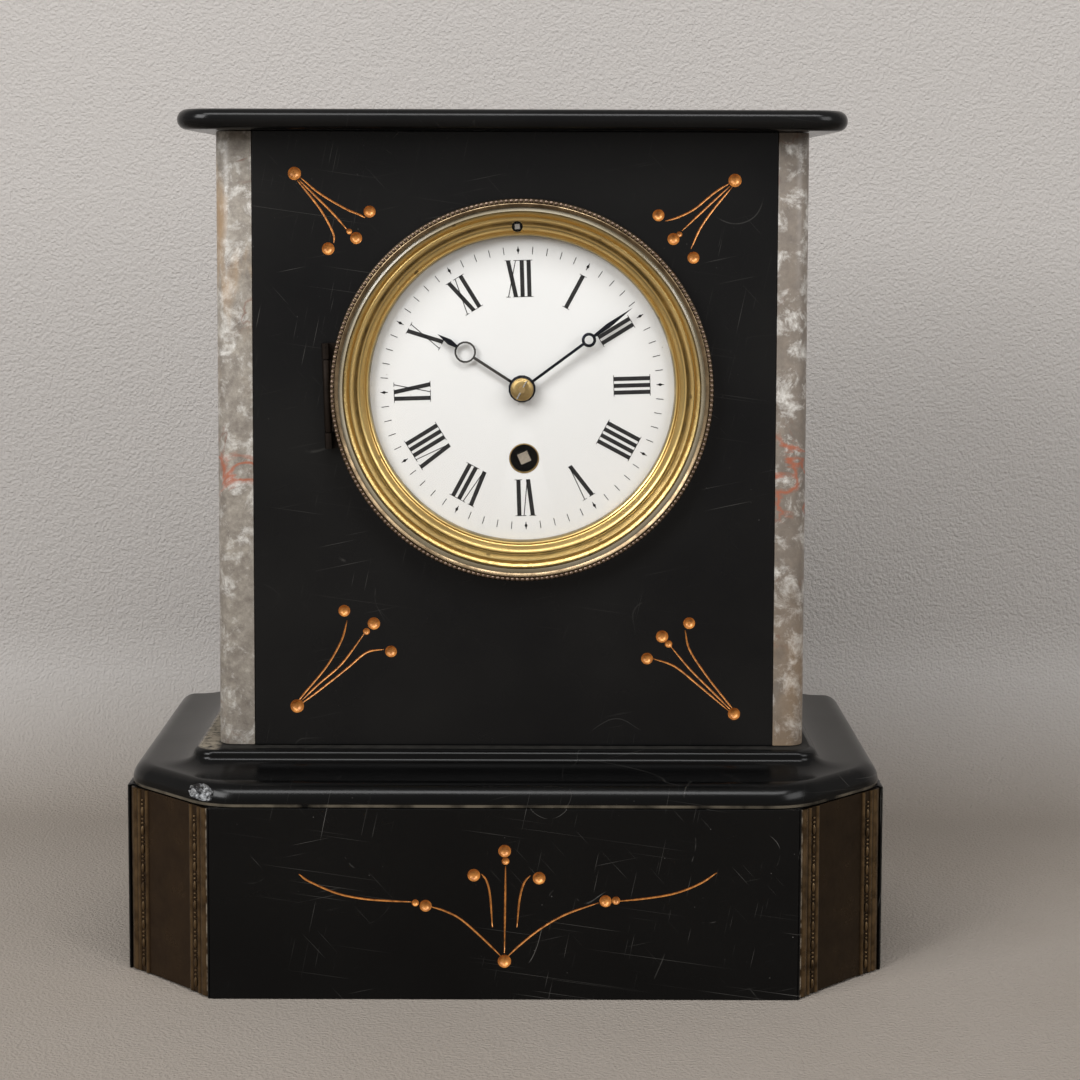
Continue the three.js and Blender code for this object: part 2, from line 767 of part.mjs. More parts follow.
// Openings between the arms of a wheel
function crossings(shape, arms, inner, outer, phase) {
  for (let k = 0; k < arms; k += 1) {
    const [a0, a1] = [k + armShare / 2, k + 1 - armShare / 2].map((turn) => phase + turn * 2 * Math.PI / arms);
    const innerTrim = (a1 - a0) * armShare / 2;
    const points = [polar(outer, a0), polar(outer, (2 * a0 + a1) / 3), polar(outer, (a0 + 2 * a1) / 3),
      polar(outer, a1), polar(inner, a1 - innerTrim), polar(inner, a0 + innerTrim)];
    shape.holes.push(new THREE.Path(points.map(([x, z]) => new THREE.Vector2(x, z))));
  }
  return shape;
}

const escapeToothShares = [[0.85, 0], [1, 0.45], [1, 0.52]];
const rimShare = 3.2;
const hubShare = 0.3;
const armShare = 0.16;

function wheel(teeth, module, phase, y0, y1, arms = 4) {
  const shape = toothed(teeth, module, phase, wheelToothShares);
  const rim = teeth * module / 2 - rimShare * module;
  return facing(crossings(shape, arms, rim * hubShare, rim, phase), y0, y1);
}

function pinion(leaves, module, direction, y0, y1) {
  return facing(toothed(leaves, module, direction + Math.PI / leaves, leafShares), y0, y1);
}

// Places of the arbors, seen from the front

const centreSpot = [0, 0];
const windingSpot = [0, -windingDrop];
const barrelToSecond = (barrelTeeth + secondPinionLeaves) * barrelModule / 2;
const secondToCentre = (secondTeeth + centrePinionLeaves) * secondModule / 2;
const centreToThird = (centreTeeth + thirdPinionLeaves) * centreModule / 2;
const thirdToEscape = (thirdTeeth + escapePinionLeaves) * thirdModule / 2;
const secondLift = (barrelToSecond ** 2 - secondToCentre ** 2 + windingDrop ** 2) / (2 * windingDrop);
const secondSpot = [-Math.sqrt(barrelToSecond ** 2 - secondLift ** 2), secondLift - windingDrop];
const thirdSpot = polar(centreToThird, degrees(thirdArborAngle));
const escapeSpot = [0, thirdSpot[1] + Math.sqrt(thirdToEscape ** 2 - thirdSpot[0] ** 2)];
const palletSpot = [0, escapeSpot[1] + palletRise];
const cannonToMinute = (cannonLeaves + minuteWheelTeeth) * cannonModule / 2;
const minuteWheelSpot = [-cannonToMinute, 0];
const hourModule = 2 * cannonToMinute / (minutePinionLeaves + hourWheelTeeth);
const ratchetY = frontPlateFront - gap - ratchetThickness;
const clickSpot = polar(ratchetRadius + clickStudStand, degrees(clickStudAngle), windingSpot);

const barrelCapFront = frontPlateBack + barrelCapStand;
const drumFront = barrelCapFront + barrelCapThickness + gap;
const drumBack = drumFront + barrelDepth;
const barrelWheelBack = drumBack + barrelWheelThickness;

function standOf(stand) {
  const front = frontPlateBack + stand;
  return [front, front + wheelThickness];
}

// An arbor with its two pivots; it stops short of both plates
function arbor(radius, front = frontPlateBack, back = backPlateFront) {
  const pivots = rod(pivotRadius, front - plateThickness, back + plateThickness);
  return [rod(radius, front + gap, back - gap), pivots];
}

function addAt([x, z], name, geometry, look) {
  const mesh = add(works, name, geometry, look);
  mesh.position.set(x, 0, z);
}

function addMovementPlates() {
  const front = disc(plateRadius, frontPlateFront, frontPlateBack, bigRound);
  const drill = (radius, spot, y) => rod(radius, y - overrun, y + plateThickness + overrun, spot);
  const pivots = [secondSpot, thirdSpot, escapeSpot, palletSpot];
  const frontHoles = pivots.map((spot) => drill(pivotRadius + pivotGap, spot, frontPlateFront));
  frontHoles.push(drill(centreArborRadius + pivotGap, centreSpot, frontPlateFront));
  frontHoles.push(drill(barrelArborRadius + pivotGap, windingSpot, frontPlateFront));
  const studRoot = frontPlateFront + plateThickness / 2;
  const clickStud = rod(clickStudRadius, ratchetY - gap, studRoot, clickSpot);
  const minuteStud = rod(minuteStudRadius, webBack + overrun, studRoot, minuteWheelSpot);
  add(works, "front_plate", cut(join(front, clickStud, minuteStud), ...frontHoles), brass);
  const back = disc(plateRadius, backPlateFront, backPlateBack, bigRound);
  const backHoles = [centreSpot, ...pivots.slice(0, -1)].map((spot) => drill(pivotRadius + pivotGap, spot,
    backPlateFront));
  backHoles.push(drill(arborRadius + pivotGap, palletSpot, backPlateFront));
  backHoles.push(drill(barrelArborRadius + pivotGap, windingSpot, backPlateFront));
  add(works, "back_plate", cut(back, ...backHoles), brass);
  [45, 135, 225, 315].map(degrees).forEach((angle, i) => {
    const pillar = rod(pillarRadius, frontPlateBack + gap, backPlateFront - gap);
    addAt(polar(pillarCircle, angle), `pillar_${i + 1}`, pillar, brass);
  });
}

function addBarrel() {
  const bore = barrelArborRadius + gap;
  const inside = barrelRadius - barrelWall;
  const floor = drumBack - barrelFloor;
  const drum = turned([[inside, drumFront], [barrelRadius, drumFront], [barrelRadius, drumBack],
    [bore, drumBack], [bore, floor], [inside, floor]], midRound);
  const teeth = toothed(barrelTeeth, barrelModule, bearing(windingSpot, secondSpot), wheelToothShares);
  teeth.holes.push(new THREE.Path().absarc(0, 0, bore, 0, 2 * Math.PI));
  const gear = facing(teeth, drumBack - barrelFloor / 2, barrelWheelBack);
  addAt(windingSpot, "barrel_drum", join(drum, gear), brass);
  const capBack = barrelCapFront + barrelCapThickness;
  const cap = turned([[bore, barrelCapFront], [barrelRadius, barrelCapFront], [barrelRadius, capBack],
    [bore, capBack]], midRound);
  addAt(windingSpot, "barrel_cap", cap, brass);
}

function addMainspring() {
  const [inner, outer] = [barrelArborRadius + gap, barrelRadius - barrelWall - gap - springThickness];
  const steps = springCoils * smallRound;
  const edge = (offset) => Array.from({ length: steps + 1 }, (_, k) => new THREE.Vector2(
    ...polar(inner + offset + (outer - inner) * k / steps, 2 * Math.PI * k / smallRound)));
  const ribbon = new THREE.Shape([...edge(springThickness), ...edge(0).reverse()]);
  addAt(windingSpot, "mainspring", facing(ribbon, drumFront + gap, drumBack - barrelFloor - gap), blackSteel);
}

function addWindingWork() {
  const shaft = rod(barrelArborRadius, ratchetY, backPlateBack);
  const half = windingSquare / 2;
  const square = block([-half, half], [dialBack + windingTip, ratchetY + ratchetThickness / 2], [-half, half]);
  square.rotateY(-degrees(squareTurnDegrees));
  const step = 2 * Math.PI / ratchetTeeth;
  const points = [];
  for (let k = 0; k < ratchetTeeth; k += 1) {
    points.push(new THREE.Vector2(...polar(ratchetRadius * ratchetRootShare, k * step)));
    points.push(new THREE.Vector2(...polar(ratchetRadius, k * step)));
  }
  const ratchet = facing(new THREE.Shape(points), ratchetY, ratchetY + ratchetThickness);
  addAt(windingSpot, "winding_arbor", join(shaft, square, ratchet), steel);
}

// The click and its spring are drawn with the lever along +X and the ratchet above, then turned
function addClick() {
  const tip = polar(ratchetRadius + gap, degrees(clickTipAngle), windingSpot);
  const length = Math.hypot(tip[0] - clickSpot[0], tip[1] - clickSpot[1]);
  const turn = bearing(clickSpot, tip);
  const half = clickWidth / 2;
  const [front, back] = [ratchetY, ratchetY + ratchetThickness];
  const outline = [[0, half], [0, -half], [length, -half], [length, 0]];
  const lever = facing(new THREE.Shape(outline.map(([x, z]) => new THREE.Vector2(x, z))), front, back);
  const hub = rod(clickHubRadius, front, back, centreSpot, smallRound);
  const hole = rod(clickStudRadius + pivotGap, front - overrun, frontPlateFront);
  addAt(clickSpot, "click", cut(join(lever, hub), hole).rotateY(-turn), steel);
  const start = new THREE.Vector2(-clickHubRadius - clickSpringFoot, -clickHubRadius - clickSpringGap);
  const bend = new THREE.Vector2(length / 2, start.y - clickSpringFoot);
  const end = new THREE.Vector2(length * clickSpringReachShare, -half - clickSpringGap);
  const near = new THREE.QuadraticBezierCurve(start, bend, end).getPoints(smallRound / 2);
  const far = near.map(({ x, y }) => new THREE.Vector2(x, y - clickSpringWidth)).reverse();
  const leaf = facing(new THREE.Shape([...near, ...far]), front, back);
  const foot = rod(clickSpringFoot, front, back, [start.x, start.y - clickSpringWidth / 2]);
  addAt(clickSpot, "click_spring", join(leaf, foot).rotateY(-turn), steel);
}

function addGoingTrain() {
  const [secondFront, secondBack] = standOf(secondWheelStand);
  const [centreFront, centreBack] = standOf(centreWheelStand);
  const [thirdFront, thirdBack] = standOf(thirdWheelStand);
  const [escapeFront, escapeBack] = standOf(escapeWheelStand);
  const second = join(
    wheel(secondTeeth, secondModule, bearing(secondSpot, centreSpot), secondFront, secondBack),
    pinion(secondPinionLeaves, barrelModule, bearing(secondSpot, windingSpot),
      drumBack - barrelFloor / 2 - pinionOverrun, barrelWheelBack + pinionOverrun),
    ...arbor(arborRadius));
  addAt(secondSpot, "second_wheel", second, brass);
  const tipFront = minuteFront - gap - colletHeight - gap - 4 * taperPinRadius;
  const pinHole = rod(taperPinRadius + pivotGap, -taperPinLength, taperPinLength, [0, 0]);
  pinHole.rotateX(Math.PI / 2).rotateY(degrees(taperPinAngle)).translate(0, taperPinY, 0);
  const centre = join(
    wheel(centreTeeth, centreModule, bearing(centreSpot, thirdSpot), centreFront, centreBack),
    pinion(centrePinionLeaves, secondModule, bearing(centreSpot, secondSpot),
      secondFront - pinionOverrun, secondBack + pinionOverrun),
    rod(centreArborRadius, frontPlateFront, backPlateFront - gap),
    rod(pivotRadius, backPlateFront - overrun, backPlateBack),
    rod(centreTipRadius, tipFront, frontPlateBack));
  addAt(centreSpot, "centre_wheel", cut(centre, pinHole), brass);
  const third = join(
    wheel(thirdTeeth, thirdModule, bearing(thirdSpot, escapeSpot), thirdFront, thirdBack),
    pinion(thirdPinionLeaves, centreModule, bearing(thirdSpot, centreSpot),
      centreFront - pinionOverrun, centreBack + pinionOverrun),
    ...arbor(thirdPinionArbor));
  addAt(thirdSpot, "third_wheel", third, brass);
  const points = [];
  for (let k = 0; k < escapeTeeth; k += 1) {
    escapeToothShares.forEach(([radiusShare, turnShare]) => {
      const turn = (k + turnShare) * 2 * Math.PI / escapeTeeth;
      points.push(new THREE.Vector2(...polar(escapeRadius * radiusShare, turn)));
    });
  }
  const rim = escapeRadius * escapeRimShare;
  const escape = join(
    facing(crossings(new THREE.Shape(points), 4, rim * hubShare, rim, 0), escapeFront, escapeBack),
    pinion(escapePinionLeaves, thirdModule, bearing(escapeSpot, thirdSpot),
      thirdFront - pinionOverrun, thirdBack + pinionOverrun),
    ...arbor(thirdPinionArbor));
  addAt(escapeSpot, "escape_wheel", escape, brass);
}

function addMotionWork() {
  const minuteWheelBack = frontPlateFront - minuteWheelStand;
  const minuteWheelFront = minuteWheelBack - wheelThickness;
  const hourWheelBack = frontPlateFront - hourWheelStand;
  const hourWheelFront = hourWheelBack - wheelThickness;
  const cannonBack = frontPlateFront - gap;
  const cannonBore = rod(centreTipRadius + gap, minuteFront - overrun, frontPlateFront);
  const cannon = join(rod(cannonRadius, minuteFront, cannonBack),
    pinion(cannonLeaves, cannonModule, bearing(centreSpot, minuteWheelSpot), minuteWheelFront - pinionOverrun,
      cannonBack));
  addAt(centreSpot, "cannon_pinion", cut(cannon, cannonBore), steel);
  const minuteBore = rod(minuteStudRadius + pivotGap, webBack - overrun, frontPlateFront);
  const minute = join(
    wheel(minuteWheelTeeth, cannonModule, bearing(minuteWheelSpot, centreSpot), minuteWheelFront,
      minuteWheelBack),
    pinion(minutePinionLeaves, hourModule, bearing(minuteWheelSpot, centreSpot),
      hourWheelFront - pinionOverrun / 2, minuteWheelBack));
  addAt(minuteWheelSpot, "minute_wheel", cut(minute, minuteBore), brass);
  const hourBore = rod(cannonRadius + gap, hourFront - overrun, frontPlateFront);
  const hour = join(
    wheel(hourWheelTeeth, hourModule, bearing(centreSpot, minuteWheelSpot), hourWheelFront, hourWheelBack, 5),
    rod(hourPipeRadius, hourFront, hourWheelBack));
  addAt(centreSpot, "hour_wheel", cut(hour, hourBore), brass);
}

// Hands drawn pointing at XII, then turned to the time shown

function circle(radius, z = 0) {
  return new THREE.Path().absarc(0, z, radius, 0, 2 * Math.PI);
}

function handGeometry({ boss, bore, ringCentre, ringRadius, ringBore, tip, tipWidth, front }) {
  const back = front + handThickness;
  const half = handShaftWidth / 2;
  const ringMiddle = (ringBore + ringRadius) / 2;
  const shaft = block([-half, half], [front, back], [(boss + bore) / 2, ringCentre - ringMiddle]);
  const head = tipWidth / 2;
  const swell = ringCentre + ringRadius + (tip - ringCentre - ringRadius) * tipSwellShare;
  const outline = [[-half, ringCentre + ringMiddle], [half, ringCentre + ringMiddle], [head, swell],
    [0, tip], [-head, swell]];
  const point = facing(new THREE.Shape(outline.map(([x, z]) => new THREE.Vector2(x, z))), front, back);
  const ring = new THREE.Shape().absarc(0, ringCentre, ringRadius, 0, 2 * Math.PI);
  ring.holes.push(circle(ringBore, ringCentre));
  const hub = new THREE.Shape().absarc(0, 0, boss, 0, 2 * Math.PI);
  hub.holes.push(circle(bore));
  return join(facing(hub, front, back), shaft, facing(ring, front, back), point);
}

function addHands() {
  const hour = handGeometry({
    boss: hourBossRadius, bore: hourPipeRadius + gap, ringCentre: hourRingCentre,
    ringRadius: hourRingRadius, ringBore: hourRingBore, tip: hourTipLength,
    tipWidth: hourTipWidth, front: hourFront,
  });
  const hourMesh = add(works, "hour_hand", hour, blackSteel);
  hourMesh.rotation.y = (hourShown + minuteShown / 60) / 12 * 2 * Math.PI;
  const minute = handGeometry({
    boss: minuteBossRadius, bore: cannonRadius + gap, ringCentre: minuteRingCentre,
    ringRadius: minuteRingRadius, ringBore: minuteRingBore, tip: minuteTipLength,
    tipWidth: minuteTipWidth, front: minuteFront,
  });
  const minuteMesh = add(works, "minute_hand", minute, blackSteel);
  minuteMesh.rotation.y = minuteShown / 60 * 2 * Math.PI;
  const colletBack = minuteFront - gap;
  const bore = centreTipRadius + gap;
  const collet = turned([[bore, colletBack], [bore, colletBack - colletHeight],
    [colletRadius * colletCrownShare, colletBack - colletHeight], [colletRadius, colletBack - colletHeight / 3],
    [colletRadius, colletBack]], midRound);
  add(works, "hand_collet", collet, gilt);
  const tip = taperPinRadius * taperShare;
  const pin = new THREE.CylinderGeometry(tip, taperPinRadius, taperPinLength, smallRound);
  pin.rotateX(Math.PI / 2).rotateY(degrees(taperPinAngle)).translate(0, taperPinY, 0);
  add(works, "taper_pin", pin, steel);
}

// Escapement; its crutch hangs plumb beside the pendulum

const palletShares = [[0.25, 0.3], [0.82, 0.07], [1.23, -0.43], [1.18, -0.75], [1, -0.64], [0.93, -0.39],
  [0.64, -0.16], [0.2, -0.2]];

function addPallets() {
  const right = palletShares.map(([x, z]) => new THREE.Vector2(x * palletReach, z * palletReach));
  const left = right.map((p) => new THREE.Vector2(-p.x, p.y)).reverse();
  const [escapeFront, escapeBack] = standOf(escapeWheelStand);
  const middle = (escapeFront + escapeBack) / 2;
  const front = middle - palletThickness / 2;
  const anchor = facing(new THREE.Shape([...right, ...left]), front, front + palletThickness);
  const hub = rod(palletHubRadius, front - overrun, front + palletThickness + overrun);
  const crutchFront = backPlateBack + crutchStand;
  const crutchBack = crutchFront + crutchThickness;
  const half = crutchWidth / 2;
  const fork = rodRadius + gap;
  const reach = pendulumY + rodRadius + crutchProng;
  const foot = -crutchDrop + crutchWidth;
  const crutch = join(
    rod(crutchWidth, crutchFront, crutchBack),
    block([-half, half], [crutchFront, crutchBack], [foot, 0]),
    block([-fork - crutchProng, fork + crutchProng], [crutchFront, crutchBack], [-crutchDrop, foot + overrun]),
    block([-fork - crutchProng, -fork], [crutchFront, reach], [-crutchDrop, foot]),
    block([fork, fork + crutchProng], [crutchFront, reach], [-crutchDrop, foot]));
  crutch.rotateY(degrees(beatTurnDegrees));
  const geometry = join(anchor, hub, crutch,
    rod(arborRadius, frontPlateBack + gap, cockFront - gap),
    rod(pivotRadius, frontPlateFront, cockFront + cockThickness));
  addAt(palletSpot, "pallets", geometry, steel);
}

// Suspension: the chops slide on the spring strip and set the length of the pendulum

const cockFront = backPlateBack + cockStand;
const cockBack = cockFront + cockThickness;
const pendulumY = cockBack + springHang;
const leadScrewY = pendulumY + leadScrewStand;
const pivotHeight = palletSpot[1];
const shelfBottom = pivotHeight + springStripTop + gap;
const crownBottom = ratingArborCircle - bevelRadius - bevelThickness - gap;

function addBackCock() {
  const half = cockWidth / 2;
  const feet = [-1, 1].map((side) => {
    const [outer, inner] = [side * half, side * (half - cockFootWidth)];
    const span = [Math.min(outer, inner), Math.max(outer, inner)];
    return block(span, [backPlateBack + gap, cockBack], [cockBottom, cockBottom + cockFootHeight]);
  });
  const strip = springStripThickness / 2 + gap;
  const cheeks = [-1, 1].map((side) => {
    const [inner, outer] = [side * strip, side * (strip + clampCheek)];
    const span = [Math.min(outer, inner), Math.max(outer, inner)];
    return block(span, [pendulumY - springStripWidth / 2, pendulumY + springStripWidth / 2],
      [shelfBottom - clampHeight, shelfBottom + shelfThickness / 2]);
  });
  const plate = block([-half, half], [cockFront, cockBack], [cockBottom, cockTop]);
  const shelf = block([-chopsWidth / 2, chopsWidth / 2], [cockFront, cockBack + shelfDepth],
    [shelfBottom, shelfBottom + shelfThickness]);
  const whole = join(plate, shelf, ...feet, ...cheeks);
  const holes = [
    rod(pivotRadius + pivotGap, cockFront - overrun, cockBack + overrun, [0, pivotHeight]),
    rod(ratingArborRadius + pivotGap, cockFront - overrun, cockBack + overrun, [0, ratingArborCircle]),
    post(leadScrewRadius + pivotGap, shelfBottom - overrun, cockTop, [0, leadScrewY]),
  ];
  add(works, "back_cock", cut(whole, ...holes), brass);
  const thin = springStripThickness / 2;
  add(works, "suspension_spring", block([-thin, thin],
    [pendulumY - springStripWidth / 2, pendulumY + springStripWidth / 2],
    [pivotHeight - springStripBottom, pivotHeight + springStripTop]), steel);
}

function addChops() {
  const [half, slot] = [chopsWidth / 2, springStripThickness / 2 + gap];
  const front = pendulumY - springStripWidth / 2 - gap;
  const span = [pivotHeight, pivotHeight + chopsHeight];
  const solid = block([-half, half], [front, leadScrewY + chopsBack], span);
  const slit = block([-slot, slot], [front - overrun, pendulumY + springStripWidth / 2 + gap],
    [span[0] - overrun, span[1] + overrun]);
  const thread = post(leadScrewRadius + pivotGap, span[0] - overrun, span[1] + overrun, [0, leadScrewY]);
  add(works, "suspension_chops", cut(solid, slit, thread), brass);
  const crown = post(bevelRadius, crownBottom, crownBottom + bevelThickness, [0, leadScrewY], midRound / 2);
  const screw = post(leadScrewRadius, pivotHeight - overrun, crownBottom + bevelThickness / 2, [0, leadScrewY]);
  add(works, "lead_screw", join(screw, crown), steel);
}

function addRatingArbor() {
  const front = dialFront - ratingArborTip;
  const end = leadScrewY - bevelRadius - gap;
  const half = ratingSquare / 2;
  const shaftFront = dialFront;
  const shaft = rod(ratingArborRadius, shaftFront, end - bevelThickness / 2);
  const square = block([-half, half], [front, shaftFront + overrun], [-half, half]);
  const bevel = rod(bevelRadius, end - bevelThickness, end);
  addAt([0, ratingArborCircle], "rating_arbor", join(shaft, square, bevel), steel);
}

// The pendulum hangs plumb from the bend of the spring strip, whatever the turn of the works
const plumb = new THREE.Group();
plumb.position.z = pivotHeight;
plumb.rotation.y = degrees(beatTurnDegrees);
works.add(plumb);

function addPendulum() {
  const top = -hookBlockDrop;
  const half = hookBlockWidth / 2;
  const hook = block([-half, half], [pendulumY - hookBlockDepth / 2, pendulumY + hookBlockDepth / 2],
    [top - hookBlockHeight, top]);
  const slot = hookSlotWidth / 2;
  const slit = block([-slot, slot], [pendulumY - hookBlockDepth, pendulumY + hookBlockDepth],
    [-springStripBottom - gap, top + overrun]);
  const stem = post(rodRadius, -pendulumLength - rodTail, top - hookBlockHeight / 2, [0, pendulumY]);
  add(plumb, "pendulum_rod", cut(join(hook, stem), slit), steel);
  const lens = turned([[0, pendulumY - bobThickness / 2], [bobRadius / 2, pendulumY - bobThickness * lensShare],
    [bobRadius, pendulumY - bobRim / 2], [bobRadius, pendulumY + bobRim / 2],
    [bobRadius / 2, pendulumY + bobThickness * lensShare], [0, pendulumY + bobThickness / 2]], midRound);
  const bore = post(rodRadius + gap, -bobRadius - overrun, bobRadius + overrun, [0, pendulumY]);
  const bob = add(plumb, "pendulum_bob", cut(lens, bore), brass);
  bob.position.z = -pendulumLength;
  const nutTop = -pendulumLength - bobRadius - gap;
  const disc = post(ratingNutRadius, nutTop - ratingNutHeight, nutTop, [0, pendulumY], midRound);
  const thread = post(rodRadius + gap, nutTop - ratingNutHeight - overrun, nutTop + overrun, [0, pendulumY]);
  add(plumb, "rating_nut", cut(disc, thread), brass);
}

// Back: ring, hinged door, straps and their screws

const ringFront = bodyBack - backTubeDepth;
const ringSeat = bodyBack + gap;
const ringBack = ringSeat + backFlangeThickness;
const lugBack = ringFront + ringLugThickness;
const screwSpot = strapReach - strapLug / 2;
const doorHingeX = doorRadius + doorHingeOffset;
const doorHingeY = ringBack + gap + doorBarrelRadius;

function addBackRing() {
  const profile = [
    [backBore, ringFront], [backBore + backTubeWall, ringFront], [backBore + backTubeWall, ringSeat],
    [backFlangeRadius, ringSeat], [backFlangeRadius, ringBack], [backBore, ringBack],
  ];
  const half = strapWidth / 2;
  const lugs = [-1, 1].map((side) => {
    const [outer, inner] = [side * (backBore + backTubeWall / 2), side * (strapReach - strapLug)];
    return block([Math.min(outer, inner), Math.max(outer, inner)], [ringFront, lugBack], [-half, half]);
  });
  const [start, end] = [doorBarrelSpread - doorBarrelLength / 2, doorBarrelSpread + doorBarrelLength / 2];
  const ears = [[-end, -start], [start, end]].flatMap(([z0, z1]) => [
    post(doorBarrelRadius, z0, z1, [doorHingeX, doorHingeY]),
    block([doorHingeX - doorBarrelRadius / 2, doorHingeX + doorBarrelRadius / 2], [ringSeat, doorHingeY],
      [z0, z1]),
  ]);
  const pin = post(doorPinRadius, -end, end, [doorHingeX, doorHingeY]);
  const holes = [-1, 1].map((side) => rod(screwRadius + gap, ringFront - overrun, lugBack + overrun,
    [side * screwSpot, 0]));
  add(works, "back_ring", cut(join(turned(profile), ...lugs, ...ears, pin), ...holes), brass);
}

function addBackDoor() {
  const [front, back] = [ringBack + gap, ringBack + gap + doorThickness];
  const reach = doorBarrelSpread - doorBarrelLength / 2 - gap;
  const knuckle = post(doorBarrelRadius, -reach, reach, [doorHingeX, doorHingeY]);
  const leaf = block([doorRadius - doorHingeOffset * 2, doorHingeX], [front, back], [-reach, reach]);
  const hollow = post(doorPinRadius + gap, -reach - overrun, reach + overrun, [doorHingeX, doorHingeY]);
  const door = cut(join(disc(doorRadius, front, back, bigRound), leaf, knuckle), hollow);
  add(works, "back_door", door, brass);
}

function addStraps() {
  const end = ringFront - gap;
  const half = strapWidth / 2;
  [["left", -1], ["right", 1]].forEach(([word, side]) => {
    const span = (a, b) => [Math.min(side * a, side * b), Math.max(side * a, side * b)];
    const outer = strapReach;
    const front = webBack + gap;
    const bar = block(span(outer - strapThickness, outer), [front, end], [-half, half]);
    const foot = block(span(outer - strapFoot, outer), [front, front + strapThickness], [-half, half]);
    const lug = block(span(outer - strapLug, outer), [end - strapLugDepth, end], [-half, half]);
    const thread = rod(screwRadius + gap, end - strapLugDepth - overrun, end + overrun, [side * screwSpot, 0]);
    add(works, `${word}_strap`, cut(join(bar, foot, lug), thread), steel);
    const head = rod(screwHeadRadius, lugBack + gap, lugBack + gap + screwHeadHeight);
    const shank = rod(screwRadius, end - strapLugDepth, lugBack + gap + screwHeadHeight / 2);
    addAt([side * screwSpot, 0], `${word}_strap_screw`, join(head, shank), steel);
  });
}

addPlinthWalls();
addCants();
addMoulding();
addPilasters();
addBodyPanels();
addTopSlab();
addBezelMount();
addSightRing();
addBezelDoor();
addDial();
addMovementPlates();
addBarrel();
addMainspring();
addWindingWork();
addClick();
addGoingTrain();
addMotionWork();
addHands();
addPallets();
addBackCock();
addChops();
addRatingArbor();
addPendulum();
addBackRing();
addBackDoor();
addStraps();

export default clock;
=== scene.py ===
# %% [markdown]
# # A black slate mantel clock
# A marble-pillared case of black slate stands on a moulded plinth and holds an eight-day French
# style movement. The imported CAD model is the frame: it gives every size, place and moving body.
# This lesson dresses it, one piece and one finish at a time, and never moves what the frame holds.

# %% Load the frame
import math

import bmesh
import bpy
from mathutils import Matrix, Vector


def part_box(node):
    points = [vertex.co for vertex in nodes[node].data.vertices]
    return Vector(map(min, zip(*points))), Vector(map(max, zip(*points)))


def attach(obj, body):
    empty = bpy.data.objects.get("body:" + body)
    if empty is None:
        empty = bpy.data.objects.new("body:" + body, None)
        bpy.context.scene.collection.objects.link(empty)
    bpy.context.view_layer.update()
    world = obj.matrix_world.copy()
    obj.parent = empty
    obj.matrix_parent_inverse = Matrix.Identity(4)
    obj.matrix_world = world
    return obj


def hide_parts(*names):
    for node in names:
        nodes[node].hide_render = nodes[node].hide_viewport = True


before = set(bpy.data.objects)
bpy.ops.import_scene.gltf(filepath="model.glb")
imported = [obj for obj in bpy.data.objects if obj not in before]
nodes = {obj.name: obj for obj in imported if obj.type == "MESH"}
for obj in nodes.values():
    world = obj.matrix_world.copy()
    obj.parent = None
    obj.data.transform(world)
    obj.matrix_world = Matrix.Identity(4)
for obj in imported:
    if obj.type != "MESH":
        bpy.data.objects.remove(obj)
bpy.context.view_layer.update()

MM = 0.001

# %% [markdown]
# ## The camera
# The clock is seen from straight in front, a little above the dial's centre, through a long lens.
# A lens shift keeps the uprights nearly parallel, as a product photographer would. The place and
# angle come from lining up the plinth's corners and the bezel with where the camera sees them.

# %% Camera
camera_place = (0.0101, -0.7935, 0.2516)
camera_turns = [(-0.001, "Z"), (-0.081, "X"), (-0.003, "Y"), (math.pi / 2, "X")]
sensor_width, focal_length, lens_shift = 36, 78.87, -0.141

bpy.ops.object.camera_add(location=camera_place)
camera = bpy.context.object
camera_matrix = Matrix.Identity(4)
for angle, axis in camera_turns:
    camera_matrix = camera_matrix @ Matrix.Rotation(angle, 4, axis)
camera.rotation_euler = camera_matrix.to_euler()
camera.data.sensor_width = sensor_width
camera.data.lens = focal_length
camera.data.shift_y = lens_shift
camera.data.dof.use_dof = False
bpy.context.scene.camera = camera
bpy.context.scene.view_settings.view_transform = "Standard"
print("camera at", tuple(round(x, 4) for x in camera.location))

# %% [markdown]
# ## Modelling by operators
# Every new piece starts from a primitive, is shaped in edit mode and is then finished. An operator
# acts on all that is selected, so each piece is opened alone. These few helpers open a piece,
# choose its points, edges or faces by place, and put its final place into the mesh.

# %% Open, choose and settle a piece
merge_distance = 0.000001


def open_piece(name, add, **where):
    """Adds one primitive with nothing else selected and opens it in edit mode."""
    bpy.ops.object.select_all(action="DESELECT")
    add(**where)
    piece = bpy.context.object
    piece.name = piece.data.name = name
    bpy.ops.object.mode_set(mode="EDIT")
    return piece


def choose(kind, test):
    """Selects the points, edges or faces of the open piece whose place passes a test."""
    mesh = bpy.context.object.data
    work = bmesh.from_edit_mesh(mesh)
    for item in (*work.verts, *work.edges, *work.faces):
        item.select_set(False)
    for item in getattr(work, kind):
        if kind == "verts":
            right = test(item.co / MM)
        elif kind == "edges":
            a, b = (v.co / MM for v in item.verts)
            right = test((a + b) / 2, b - a)
        else:
            right = test(item.calc_center_median() / MM, item.normal)
        if right:
            item.select_set(True)
    bmesh.update_edit_mesh(mesh)


def make_active(piece):
    """Leaves any open mesh and makes this the one selected piece."""
    if bpy.context.mode != "OBJECT":
        bpy.ops.object.mode_set(mode="OBJECT")
    bpy.ops.object.select_all(action="DESELECT")
    piece.select_set(True)
    bpy.context.view_layer.objects.active = piece


def settle_bare(piece):
    """Puts the piece's place into its mesh."""
    make_active(piece)
    bpy.ops.object.transform_apply(location=True, rotation=True, scale=True)


